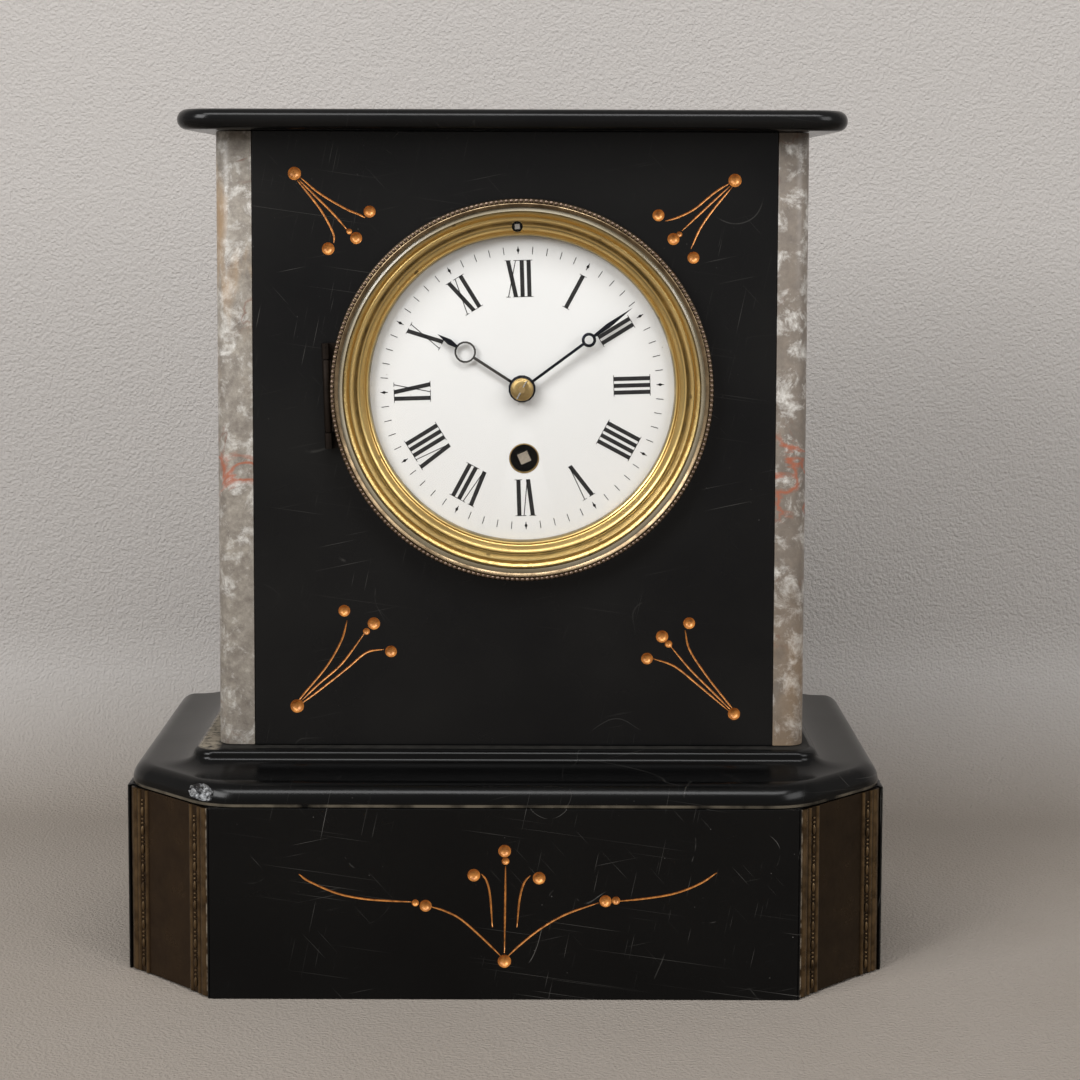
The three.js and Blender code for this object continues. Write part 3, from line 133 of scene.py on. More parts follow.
def settle(piece, place=(0, 0, 0), turn=(0, 0, 0), smooth=30):
    """Moves a settled piece to its place and smooths faces that meet below an angle."""
    settle_bare(piece)
    piece.location = Vector(place) * MM
    piece.rotation_euler = [math.radians(angle) for angle in turn]
    bpy.ops.object.transform_apply(location=True, rotation=True, scale=True)
    bpy.ops.object.shade_smooth_by_angle(angle=math.radians(smooth))
    return piece


def tidy_mesh():
    """Merges doubles of the open mesh and turns its faces outwards."""
    bpy.ops.mesh.select_all(action="SELECT")
    bpy.ops.mesh.remove_doubles(threshold=merge_distance)
    bpy.ops.mesh.normals_make_consistent(inside=False)


def apply_modifier(piece, kind, **settings):
    """Adds one modifier, sets it and applies it."""
    make_active(piece)
    modifier = piece.modifiers.new(kind.lower(), kind)
    for key, value in settings.items():
        setattr(modifier, key, value)
    bpy.ops.object.modifier_apply(modifier=modifier.name)
    return piece


def weigh(piece):
    """Lets the large flat faces set the shading, so that small cuts beside them leave no streaks."""
    return apply_modifier(piece, "WEIGHTED_NORMAL", mode="FACE_AREA", weight=100, keep_sharp=True)


def join(name, pieces):
    """Makes one piece of several."""
    make_active(pieces[0])
    for piece in pieces[1:]:
        piece.select_set(True)
    if len(pieces) > 1:
        bpy.ops.object.join()
    joined = bpy.context.object
    joined.name = joined.data.name = name
    return joined


def ready(piece, finish, body, slot, *replaced):
    """Gives a piece its finish, its body and the CAD nodes that it stands for."""
    if finish is not None:
        piece.data.materials.clear()
        piece.data.materials.append(finish)
    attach(piece, body)
    if replaced:
        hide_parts(*replaced)
    print(piece.name, "has", len(piece.data.polygons), "faces and rides on", body)
    return piece


# %% [markdown]
# ## Finishes from patterns
# A finish is a shader fed by patterns that are worked out in space, so it needs no picture. Every
# pattern here is measured on the object's own coordinates in metres, so a scale of 200 repeats
# about every 5 mm. The same few moves make them all: a cloudy noise, small specks and a blend.

# %% A finish and its patterns
dial_axis = (0.0051, 0, 0.1898)


class Finish:
    """One material under construction."""

    def __init__(self, name, colour, roughness, metallic=0.0, **constants):
        self.material = bpy.data.materials.new(name)
        self.material.use_nodes = True
        self.tree = self.material.node_tree
        self.shader = next(n for n in self.tree.nodes if n.type == "BSDF_PRINCIPLED")
        self.shader.inputs["Base Color"].default_value = (*colour, 1)
        self.shader.inputs["Roughness"].default_value = roughness
        self.shader.inputs["Metallic"].default_value = metallic
        for socket, value in constants.items():
            self.shader.inputs[socket.replace("_", " ")].default_value = value
        self.space = self.add("ShaderNodeTexCoord")

    def add(self, kind, inputs=None, **settings):
        node = self.tree.nodes.new(kind)
        for key, value in settings.items():
            setattr(node, key, value)
        for socket, value in (inputs or {}).items():
            if isinstance(value, bpy.types.NodeSocket):
                self.tree.links.new(value, node.inputs[socket])
            else:
                node.inputs[socket].default_value = value
        return node

    def place(self, stretch=(1, 1, 1), turn=(0, 0, 0), shift=(0, 0, 0)):
        """Object coordinates, moved, turned and stretched."""
        turned = self.add("ShaderNodeMapping", {
            "Vector": self.space.outputs["Object"], "Location": shift,
            "Rotation": [math.radians(angle) for angle in turn]})
        return self.add("ShaderNodeMapping", {
            "Vector": turned.outputs[0], "Scale": stretch}).outputs[0]

    def between(self, value, low, high, bottom=0.0, top=1.0):
        """A value's share of the way from low to high."""
        return self.add("ShaderNodeMapRange", {
            "Value": value, "From Min": low, "From Max": high,
            "To Min": bottom, "To Max": top}).outputs[0]

    def cloud(self, scale, low, high, detail=4, rough=0.5, warp=0.0, **place):
        """Soft patches: 0 below low, 1 above high."""
        noise = self.add("ShaderNodeTexNoise", {
            "Vector": self.place(**place), "Scale": scale, "Detail": detail,
            "Roughness": rough, "Distortion": warp})
        return self.between(noise.outputs[0], low, high)

    def vein(self, scale, width, detail, warp, **place):
        """Thin wandering lines, where a cloud crosses its middle."""
        noise = self.add("ShaderNodeTexNoise", {
            "Vector": self.place(**place), "Scale": scale, "Detail": detail, "Distortion": warp})
        middle = self.sum(noise.outputs[0], -0.5)
        return self.between(self.maths("ABSOLUTE", middle), width, 0.0)

    def specks(self, scale, size, share):
        """Small round spots in a share of the cells."""
        cells = self.add("ShaderNodeTexVoronoi", {"Vector": self.place(), "Scale": scale})
        spot = self.between(cells.outputs["Distance"], size, size * 0.6)
        lot = self.add("ShaderNodeSeparateColor", {0: cells.outputs["Color"]}).outputs[0]
        return self.product(spot, self.between(lot, share, share - 0.01))

    def maths(self, operation, *values):
        node = self.add("ShaderNodeMath", dict(enumerate(values)), operation=operation)
        return node.outputs[0]

    def product(self, *values):
        result = values[0]
        for value in values[1:]:
            result = self.maths("MULTIPLY", result, value)
        return result

    def sum(self, *values):
        result = values[0]
        for value in values[1:]:
            result = self.maths("ADD", result, value)
        return result

    def part(self, axis, vector=None):
        """One part of a vector, or of the object coordinates."""
        parts = self.add("ShaderNodeSeparateXYZ", {0: vector or self.space.outputs["Object"]})
        return parts.outputs[axis]

    def length(self, vector):
        node = self.add("ShaderNodeVectorMath", {0: vector}, operation="LENGTH")
        return node.outputs["Value"]

    def from_dial_axis(self):
        """The distance from the axis through the dial's middle, in metres."""
        return self.length(self.place(shift=tuple(-v for v in dial_axis), stretch=(1, 0, 1)))

    def upward(self, low, high):
        """1 on faces that look up, where dust settles."""
        return self.between(self.part("Z", self.space.outputs["Normal"]), low, high)

    def height(self, low, high):
        """The share of the way from one height to another, in millimetres."""
        return self.between(self.part("Z"), low * MM, high * MM)

    def across(self, low, high):
        """The share of the way from one place to another along X, in millimetres."""
        return self.between(self.part("X"), low * MM, high * MM)

    def blend(self, share, under, over):
        """The under colour with the over colour laid on it by share."""
        node = self.add("ShaderNodeMix", data_type="RGBA")
        for socket, value in ((0, share), (6, under), (7, over)):
            if isinstance(value, bpy.types.NodeSocket):
                self.tree.links.new(value, node.inputs[socket])
            else:
                node.inputs[socket].default_value = (*value, 1) if socket else value
        return node.outputs[2]

    def feed(self, socket, value):
        self.tree.links.new(value, self.shader.inputs[socket])

    def relief(self, height, depth, strength):
        """Raises or lowers the surface's shading by a height pattern; depth is in millimetres."""
        bump = self.add("ShaderNodeBump", {
            "Height": height, "Distance": depth * MM, "Strength": strength})
        self.tree.links.new(bump.outputs[0], self.shader.inputs["Normal"])


# %% [markdown]
# ## Black slate
# The case is Belgian black slate, rubbed and waxed to a low shine. It is never quite black: it
# clouds a little, carries white specks and hair scratches, and grey-brown dust lies on every
# ledge. Each of these is a thin layer blended over the stone's own near-black. A scratch is a
# cloud stretched to a streak in one direction, so four directions cross as careless dusting does.

# %% Slate
scratch_grey, ledge_dust = (0.14, 0.135, 0.125), (0.20, 0.185, 0.16)
scratch_runs = [(12, 0.3, 30, 2600), (-48, 1.7, 38, 3000), (78, 2.9, 46, 3000), (-8, 5.1, 12, 2800)]
curl_sizes = [(16, 2.0), (24, 6.0)]
over_the_top = 400


def slate_finish(name, stone, scratches, gloss, dust_above=over_the_top, dust_share=0.0):
    """Slate of one darkness; dust lies on flat tops above a height in millimetres."""
    slate = Finish(name, (stone, stone, stone), gloss, Specular_IOR_Level=0.18)
    clouds = slate.cloud(22, 0.35, 0.72, detail=6)
    stone = slate.blend(clouds, (0.7 * stone, 0.7 * stone, 0.77 * stone),
                        (1.4 * stone, 1.38 * stone, 1.35 * stone))
    lines = slate.maths("MAXIMUM", slate.specks(210, 0.05, 0.2), slate.specks(420, 0.07, 0.12))
    for turn, shift, long, fine in scratch_runs:
        streak = slate.cloud(1, 0.715, 0.79, detail=2, stretch=(long, long, fine), turn=(0, turn, 0),
                             shift=(shift, shift, shift))
        lines = slate.maths("MAXIMUM", lines, streak)
    for scale, shift in curl_sizes:
        curl = slate.vein(scale, 0.0016, detail=1, warp=0.1, shift=(shift, shift, shift))
        short = slate.cloud(55, 0.58, 0.64, shift=(shift, 0, shift))
        lines = slate.maths("MAXIMUM", lines, slate.product(curl, short))
    worn = slate.product(lines, slate.cloud(14, 0.43, 0.60), scratches)
    stone = slate.blend(worn, stone, scratch_grey)
    flat_top = slate.product(slate.upward(0.97, 0.995), slate.height(dust_above - 0.2, dust_above + 0.2))
    dust = slate.product(flat_top, slate.cloud(300, 0.22, 0.78, detail=8, rough=0.7), dust_share)
    stone = slate.blend(dust, stone, ledge_dust)
    slate.feed("Base Color", stone)
    wax = slate.between(slate.cloud(16, 0.3, 0.7, detail=5), 0, 1, gloss, gloss * 1.45)
    slate.feed("Roughness", slate.sum(wax, slate.product(flat_top, 0.5)))
    slate.relief(slate.cloud(240, 0.2, 0.8, detail=5), depth=0.02, strength=0.5)
    return slate


# The plinth's slate is a darker copy of the panel's, and the moulding's is darker still: painted shade.
slate_panel = slate_finish("slate_panel", stone=0.0050, scratches=0.35, gloss=0.22).material
slate_plinth = slate_finish("slate_plinth", stone=0.0018, scratches=0.8, gloss=0.22).material
slate_top = slate_finish("slate_top", stone=0.004, scratches=0.3, gloss=0.17,
                         dust_above=278.2, dust_share=0.12).material
print("slate finishes:", slate_panel.name, slate_plinth.name, slate_top.name)

# %% Slate of the moulding, darkest of all as painted shade, with plaster along its fillet and dust in its left corner
plaster_line, corner_dust = (0.20, 0.17, 0.125), (0.24, 0.205, 0.155)
moulding_slate = slate_finish("slate_moulding", stone=0.0008, scratches=0.3, gloss=0.17,
                              dust_above=73.9, dust_share=0.12)
fillet = moulding_slate.product(
    moulding_slate.height(61.95, 61.75), moulding_slate.cloud(120, 0.3, 0.62, detail=5), 0.5)
corner = moulding_slate.product(
    moulding_slate.height(73.8, 74.15), moulding_slate.across(-91.5, -93.5),
    moulding_slate.cloud(500, 0.3, 0.55), 0.8)
stone_colour = moulding_slate.shader.inputs["Base Color"].links[0].from_socket
dusty = moulding_slate.blend(fillet, stone_colour, plaster_line)
moulding_slate.feed("Base Color", moulding_slate.blend(corner, dusty, corner_dust))
print("moulding finish:", moulding_slate.material.name)

# %% [markdown]
# ## Grey marble
# The pilasters are a warm grey marble: cloudy grey and off-white patches, fine grain, ochre
# stains, strongest high on the left one, and a few red-brown veins that cross both. Patches of
# different size are laid over each other first and the veins last, as they lie in the stone.

# %% Marble
marble_dark, marble_white, marble_grain = (0.12, 0.10, 0.085), (0.70, 0.68, 0.64), (0.17, 0.145, 0.12)
marble_rust, marble_crack, marble_red = (0.36, 0.22, 0.10), (0.16, 0.07, 0.045), (0.34, 0.085, 0.035)


def marble_finish(name, shift, red_height, ochre, stain, pale):
    """Marble with a band of red veins between two heights and ochre stains past another."""
    marble = Finish(name, (0.4, 0.37, 0.32), 0.32, Specular_IOR_Level=0.45)
    patches = marble.cloud(150, 0.34, 0.68, detail=12, rough=0.8, shift=shift)
    grey = marble.blend(patches, marble_dark, pale)
    white = marble.cloud(130, 0.50, 0.64, detail=12, rough=0.74, warp=0.35, shift=shift)
    stone = marble.blend(marble.product(white, 0.85), grey, marble_white)
    grain = marble.cloud(620, 0.38, 0.62, detail=4, rough=0.6, shift=shift)
    stone = marble.blend(marble.product(grain, 0.42), stone, marble_grain)
    streaks = marble.cloud(60, 0.46, 0.60, detail=7, warp=0.8, stretch=(1, 1, 0.22),
                           shift=(shift[0] + 3, 0, 1))
    rust = marble.product(streaks, marble.height(*ochre), stain)
    stone = marble.blend(rust, stone, marble_rust)
    crack = marble.product(marble.vein(24, 0.006, detail=6, warp=0.5, shift=(shift[0] + 5, 2, 0)),
                           marble.cloud(30, 0.5, 0.6, shift=shift))
    stone = marble.blend(marble.product(crack, 0.6), stone, marble_crack)
    low, high = red_height
    band = marble.product(marble.height(low - 6, low), marble.height(high + 6, high))
    red = marble.vein(70, 0.05, detail=5, warp=1.0, shift=(shift[0], 4, 3))
    stone = marble.blend(marble.product(red, band, 0.85), stone, marble_red)
    marble.feed("Base Color", stone)
    marble.feed("Roughness", marble.cloud(140, 0.0, 1.0, detail=4))
    marble.shader.inputs["Coat Weight"].default_value = 0.25
    marble.shader.inputs["Coat Roughness"].default_value = 0.25
    marble.relief(grain, depth=0.03, strength=0.35)
    return marble.material


left_marble = marble_finish("marble_left", shift=(0.2, 0.1, 0.4), red_height=(160, 170),
                            ochre=(185, 225), stain=0.85, pale=(0.41, 0.375, 0.32))
right_marble = marble_finish("marble_right", shift=(1.3, 0.7, 2.1), red_height=(152, 172),
                             ochre=(130, 95), stain=0.35, pale=(0.25, 0.21, 0.17))
print("marble finishes:", left_marble.name, right_marble.name)

# %% [markdown]
# ## Brass, in several ages and in painted shade
# The hands' collet is still golden and the movement is plain clock brass. Its plates behind the
# dial get a darker copy of that brass: painted shade. The bezel's rim and beads have darkened to
# brown, and its hinge is nearly black. One recipe makes them all: a bright and a dull colour in
# patches, with a fine brushed grain.

# %% Brass
def brass_finish(name, bright, dull, roughness, share, scale=55):
    """Brass of two colours, the dull one in patches of a share and a scale."""
    brass = Finish(name, bright, roughness, 1.0)
    patch = brass.cloud(scale, 0.38, 0.66, detail=8, rough=0.65)
    brass.feed("Base Color", brass.blend(brass.product(patch, share), bright, dull))
    fine = brass.cloud(1, 0.3, 0.7, detail=2, stretch=(900, 900, 60))
    brass.feed("Roughness", brass.sum(brass.product(fine, 0.08), brass.product(patch, 0.14), roughness))
    brass.relief(brass.cloud(900, 0.3, 0.7, detail=3), depth=0.01, strength=0.4)
    return brass.material


collet_brass = brass_finish("collet_brass", (0.50, 0.36, 0.15), (0.26, 0.17, 0.07), 0.36, 0.7, scale=330)
bead_brass = brass_finish("bead_brass", (0.20, 0.145, 0.11), (0.075, 0.050, 0.036), 0.36, 0.7, scale=260)
# A darker copy of the movement brass for the plates behind the dial: painted shade.
shaded_brass = brass_finish("shaded_brass", (0.11, 0.075, 0.035), (0.05, 0.034, 0.017), 0.5, 0.6, scale=120)
movement_brass = brass_finish("movement_brass", (0.58, 0.42, 0.20), (0.40, 0.27, 0.11), 0.3, 0.5)
rim_brass = brass_finish("rim_brass", (0.27, 0.20, 0.12), (0.080, 0.054, 0.032), 0.22, 0.85, scale=160)
dark_brass = brass_finish("dark_brass", (0.022, 0.017, 0.014), (0.010, 0.008, 0.007), 0.48, 0.8, scale=120)
brasses = [collet_brass, bead_brass, shaded_brass, movement_brass, rim_brass, dark_brass]
print("brass finishes:", [metal.name for metal in brasses])

# %% [markdown]
# ## The gilt ring and the corner plates
# Lacquer wears first where a duster reaches, and dirt stays in the hollows. On the sight ring that
# follows the distance from the dial's axis; on a corner plate it follows the height above the
# plate's field. So both finishes measure that distance and blend by it.

# %% Gilt sight ring
gilt_clean, gilt_olive = (0.71, 0.51, 0.20), (0.48, 0.34, 0.12)
gilt_dirt, gilt_spot = (0.14, 0.115, 0.045), (0.09, 0.055, 0.02)
dirty_bands = [(56.8, 0.6, 0.55), (53.15, 0.75, 0.7), (51.95, 0.22, 0.5), (49.1, 0.35, 0.85)]


def gilt_ring():
    """Gilt brass, dirty in bands that are given as radius, half width and share."""
    brass = Finish("gilt_brass", (0.78, 0.55, 0.21), 0.16, 1.0)
    radius = brass.product(brass.from_dial_axis(), 1 / MM)
    patch = brass.cloud(45, 0.45, 0.75, detail=4, rough=0.5)
    metal = brass.blend(brass.product(patch, 0.45), gilt_clean, gilt_olive)
    for centre, half, share in dirty_bands:
        off = brass.maths("ABSOLUTE", brass.sum(radius, -centre))
        near = brass.between(off, half, half * 0.45)
        band = brass.product(near, brass.cloud(160, 0.1, 0.6, detail=5), share)
        metal = brass.blend(band, metal, gilt_dirt)
    metal = brass.blend(brass.product(brass.specks(170, 0.16, 0.25), 0.6), metal, gilt_spot)
    brass.feed("Base Color", metal)
    grain = brass.product(brass.between(radius, 55.0, 55.3), brass.cloud(1500, 0.35, 0.65, detail=2))
    brass.feed("Roughness", brass.sum(brass.product(grain, 0.15), brass.product(patch, 0.10), 0.28))
    brass.relief(grain, depth=0.05, strength=0.5)
    return brass.material


gilt = gilt_ring()
print("gilt ring:", gilt.name)


# %% Corner plates, dark in the field and rubbed on the ribs
plate_field = 113.07
# The right plate's colours are darker than the left's: painted shade.
plate_colours_right_in_painted_shade = {-1: ((0.070, 0.045, 0.025), (0.034, 0.021, 0.013)),
                 1: ((0.048, 0.032, 0.018), (0.023, 0.015, 0.009))}
rubbed_rib, edge_plaster = (0.21, 0.14, 0.072), (0.50, 0.44, 0.36)


def plate_finish(name, side):
    """The brass of the left (-1) or right (1) plate, measured square to the plate; the right one is darker,
    as painted shade.
    """
    brass = Finish(name, (0.07, 0.045, 0.026), 0.32, 1.0)
    turned = brass.place(turn=(0, 0, side * -45))
    depth = brass.part("Y", turned)
    raised = brass.between(depth, -(plate_field + 0.08) * MM, -(plate_field + 0.6) * MM)
    patch = brass.cloud(110, 0.35, 0.7, detail=8, rough=0.65)
    metal = brass.blend(brass.product(patch, 0.8), *plate_colours_right_in_painted_shade[side])
    worn = brass.product(raised, brass.cloud(260, 0.25, 0.6, detail=6))
    metal = brass.blend(brass.product(worn, 0.75), metal, rubbed_rib)
    along = brass.maths("ABSOLUTE", brass.part("X", turned))
    plaster = brass.product(
        brass.between(along, 0.01885, 0.01845), brass.cloud(300, 0.42, 0.58, detail=5), 0.8)
    brass.feed("Base Color", brass.blend(plaster, metal, edge_plaster))
    brass.feed("Roughness", brass.sum(brass.product(patch, 0.2), plaster, 0.26))
    brass.relief(brass.cloud(500, 0.3, 0.7, detail=4), depth=0.04, strength=0.5)
    return brass.material


plate_metals = {-1: plate_finish("plate_brass_left", -1), 1: plate_finish("plate_brass_right", 1)}
print("plate finishes:", [metal.name for metal in plate_metals.values()])

# %% [markdown]
# ## Steel, blued steel, enamel and paint
# The movement's arbors are bright steel with a brushed look. The two that a key turns get painted
# shade behind the dial, and the winding one is paler in front: painted light on its deep square.
# The hands were heated until they turned blue-black, and the hour hand's stem carries a painted
# grey sheen. The dial is white vitreous enamel with fired black numerals.
# The lines cut in the slate are filled with a coppery gilt paint, worn thin in places.

# %% Steel
blue_black, stem_sheen_grey, shaded_steel = (0.020, 0.022, 0.030), (0.115, 0.110, 0.105), (0.02, 0.018, 0.015)


def steel_finish(name, colour, roughness, painted_shade_from=None):
    """Brushed steel; behind a depth an arbor gets painted shade."""
    steel = Finish(name, colour, roughness, 1.0)
    streak = steel.cloud(1, 0.3, 0.7, detail=2, stretch=(1500, 200, 1500))
    steel.feed("Roughness", steel.sum(steel.product(streak, 0.12), roughness))
    metal = steel.blend(steel.product(streak, 0.35), colour, tuple(c * 0.6 for c in colour))
    if painted_shade_from is not None:
        behind = steel.between(steel.part("Y"), painted_shade_from * MM, (painted_shade_from + 0.3) * MM)
        metal = steel.blend(behind, metal, shaded_steel)
    steel.feed("Base Color", metal)
    return steel.material


bright_steel = steel_finish("bright_steel", (0.42, 0.41, 0.40), 0.26)
# The winding arbor is paler than the other steel: painted light on its square, deep in its hole. Behind the
# given depth both arbors get painted shade.
winding_steel = steel_finish("winding_steel", (0.55, 0.49, 0.40), 0.45, painted_shade_from=-32.6)
rating_steel = steel_finish("rating_steel", (0.62, 0.60, 0.56), 0.3, painted_shade_from=-38.6)
blued_steel = steel_finish("blued_steel", blue_black, 0.28)


def blued_with_painted_sheen(stem_start, stem_end):
    """Blued steel whose stem is painted grey between two distances from the dial's axis: a painted sheen.
    """
    steel = Finish("blued_steel_painted_sheen", blue_black, 0.28, 1.0)
    away = steel.from_dial_axis()
    stem = steel.product(steel.between(away, stem_start * MM, (stem_start + 1) * MM),
                         steel.between(away, (stem_end + 1) * MM, stem_end * MM))
    steel.feed("Base Color", steel.blend(stem, blue_black, stem_sheen_grey))
    return steel.material


hour_steel_with_sheen = blued_with_painted_sheen(4.8, 24.2)
print("steel finishes:", bright_steel.name, winding_steel.name, rating_steel.name, blued_steel.name,
      hour_steel_with_sheen.name)

# %% Enamel, numeral black, gilt paint and a fresh break in slate
enamel = Finish("dial_enamel", (0.80, 0.795, 0.775), 0.16, Coat_Weight=0.3, Coat_Roughness=0.08)
enamel_clouds = enamel.blend(
    enamel.cloud(30, 0.3, 0.7, detail=5), (0.86, 0.86, 0.845), (0.835, 0.835, 0.82))
enamel.feed("Base Color", enamel.blend(
    enamel.product(enamel.specks(260, 0.07, 0.05), 0.5), enamel_clouds, (0.25, 0.22, 0.18)))
enamel.relief(enamel.cloud(45, 0.3, 0.7, detail=2), depth=0.02, strength=0.3)

ink = Finish("numeral_black", (0.010, 0.010, 0.011), 0.3)
ink.feed("Base Color", ink.blend(
    ink.cloud(400, 0.4, 0.7), (0.008, 0.008, 0.009), (0.020, 0.019, 0.019)))

gold_paint = Finish("gilt_paint", (0.50, 0.20, 0.045), 0.34, 0.35)
worn_paint = gold_paint.blend(
    gold_paint.cloud(700, 0.35, 0.7, detail=6), (0.58, 0.245, 0.055), (0.27, 0.10, 0.022))
gold_paint.feed("Base Color", gold_paint.blend(
    gold_paint.product(gold_paint.specks(900, 0.2, 0.12), 0.7), worn_paint, (0.05, 0.03, 0.02)))
gold_paint.relief(gold_paint.cloud(900, 0.3, 0.7, detail=3), depth=0.03, strength=0.5)

fresh_break = Finish("fresh_break", (0.16, 0.165, 0.17), 0.3, Specular_IOR_Level=0.6)
flakes = fresh_break.cloud(420, 0.48, 0.62, detail=6, rough=0.7)
fresh_break.feed("Base Color", fresh_break.blend(flakes, (0.012, 0.012, 0.014), (0.42, 0.43, 0.44)))
fresh_break.relief(flakes, depth=0.25, strength=0.8)
print("finishes:", len(bpy.data.materials))

# %% [markdown]
# ## The glass
# The bezel holds a thick flat glass with a wide polished bevel. Seen straight on, the flat is
# nearly invisible and only adds a faint sheen, while the bevel shows the warm tone of the brass
# that it sits in. So the flat is almost clear, and the bevel's colour is a painted reflection: a
# more solid glass in that warm tone, with paler patches.

# %% Glass
clear_glass = Finish("clear_glass", (0.05, 0.052, 0.052), 0.03, Alpha=0.04, Specular_IOR_Level=0.8)
clear_glass.feed("Roughness", clear_glass.cloud(18, -2.0, 14.0, detail=3))
# The bevel's warm colour and its paler patches are a painted reflection of the brass and the room.
bevel_glass = Finish("bevel_glass", (0.50, 0.48, 0.43), 0.16, Alpha=0.6, Specular_IOR_Level=0.9)
bevel_glass.feed("Base Color", bevel_glass.blend(
    bevel_glass.cloud(20, 0.4, 0.62, detail=5), (0.40, 0.33, 0.21), (0.62, 0.55, 0.41)))
for glass in (clear_glass, bevel_glass):
    glass.material.surface_render_method = "BLENDED"
print("glass finishes:", clear_glass.material.name, bevel_glass.material.name)

# %% [markdown]
# ## Slabs with eased edges
# The case is a box of sawn slabs with every sharp edge rubbed down by a stone. The CAD nodes have
# the right sizes but razor edges, so each slab is a merged copy of its node with a small bevel.
# A bevel modifier finds the edges by their angle, and it is then applied.

# %% Eased copies of the slabs
def copy_of(node, name):
    """A new piece with a node's shape: loose triangles merged, flat sides made whole."""
    piece = bpy.data.objects.new(name, nodes[node].data.copy())
    bpy.context.scene.collection.objects.link(piece)
    make_active(piece)
    if piece.data.has_custom_normals:
        bpy.ops.mesh.customdata_custom_splitnormals_clear()
    bpy.ops.object.mode_set(mode="EDIT")
    bpy.ops.mesh.select_all(action="SELECT")
    bpy.ops.mesh.remove_doubles(threshold=merge_distance)
    bpy.ops.mesh.dissolve_limited(angle_limit=math.radians(0.5))
    bpy.ops.object.mode_set(mode="OBJECT")
    piece.data.materials.clear()
    return piece


def eased(node, width):
    """A copy of a slab with its edges rubbed down by width, in millimetres."""
    piece = copy_of(node, node + "_slab")
    apply_modifier(piece, "BEVEL", width=width * MM, segments=2, limit_method="ANGLE",
                   angle_limit=math.radians(35))
    return weigh(settle(piece, smooth=40))


slab_easing = {
    "plinth_left_panel": 0.5, "plinth_right_panel": 0.5, "plinth_back_panel": 0.5,
    "left_cant_block": 0.15, "right_cant_block": 0.15, "plinth_base_plate": 0.4,
}
for node, width in slab_easing.items():
    ready(eased(node, width), slate_plinth, "case", "slate", node)
for node in ("left_side_panel", "right_side_panel", "back_panel"):
    ready(eased(node, 0.5), slate_panel, "case", "slate", node)

# %% [markdown]
# ## Incised and gilded sprays
# A spray of fine lines ending in round hollows is cut into each corner of the front, and a larger
# one into the plinth. They were drilled and engraved, then gilded. Here the drill is a sphere and
# the graver a thin round tool drawn along each line: joined, they are cut from the slab by a
# Boolean, which leaves the tool's gilt finish on the faces that it cuts.

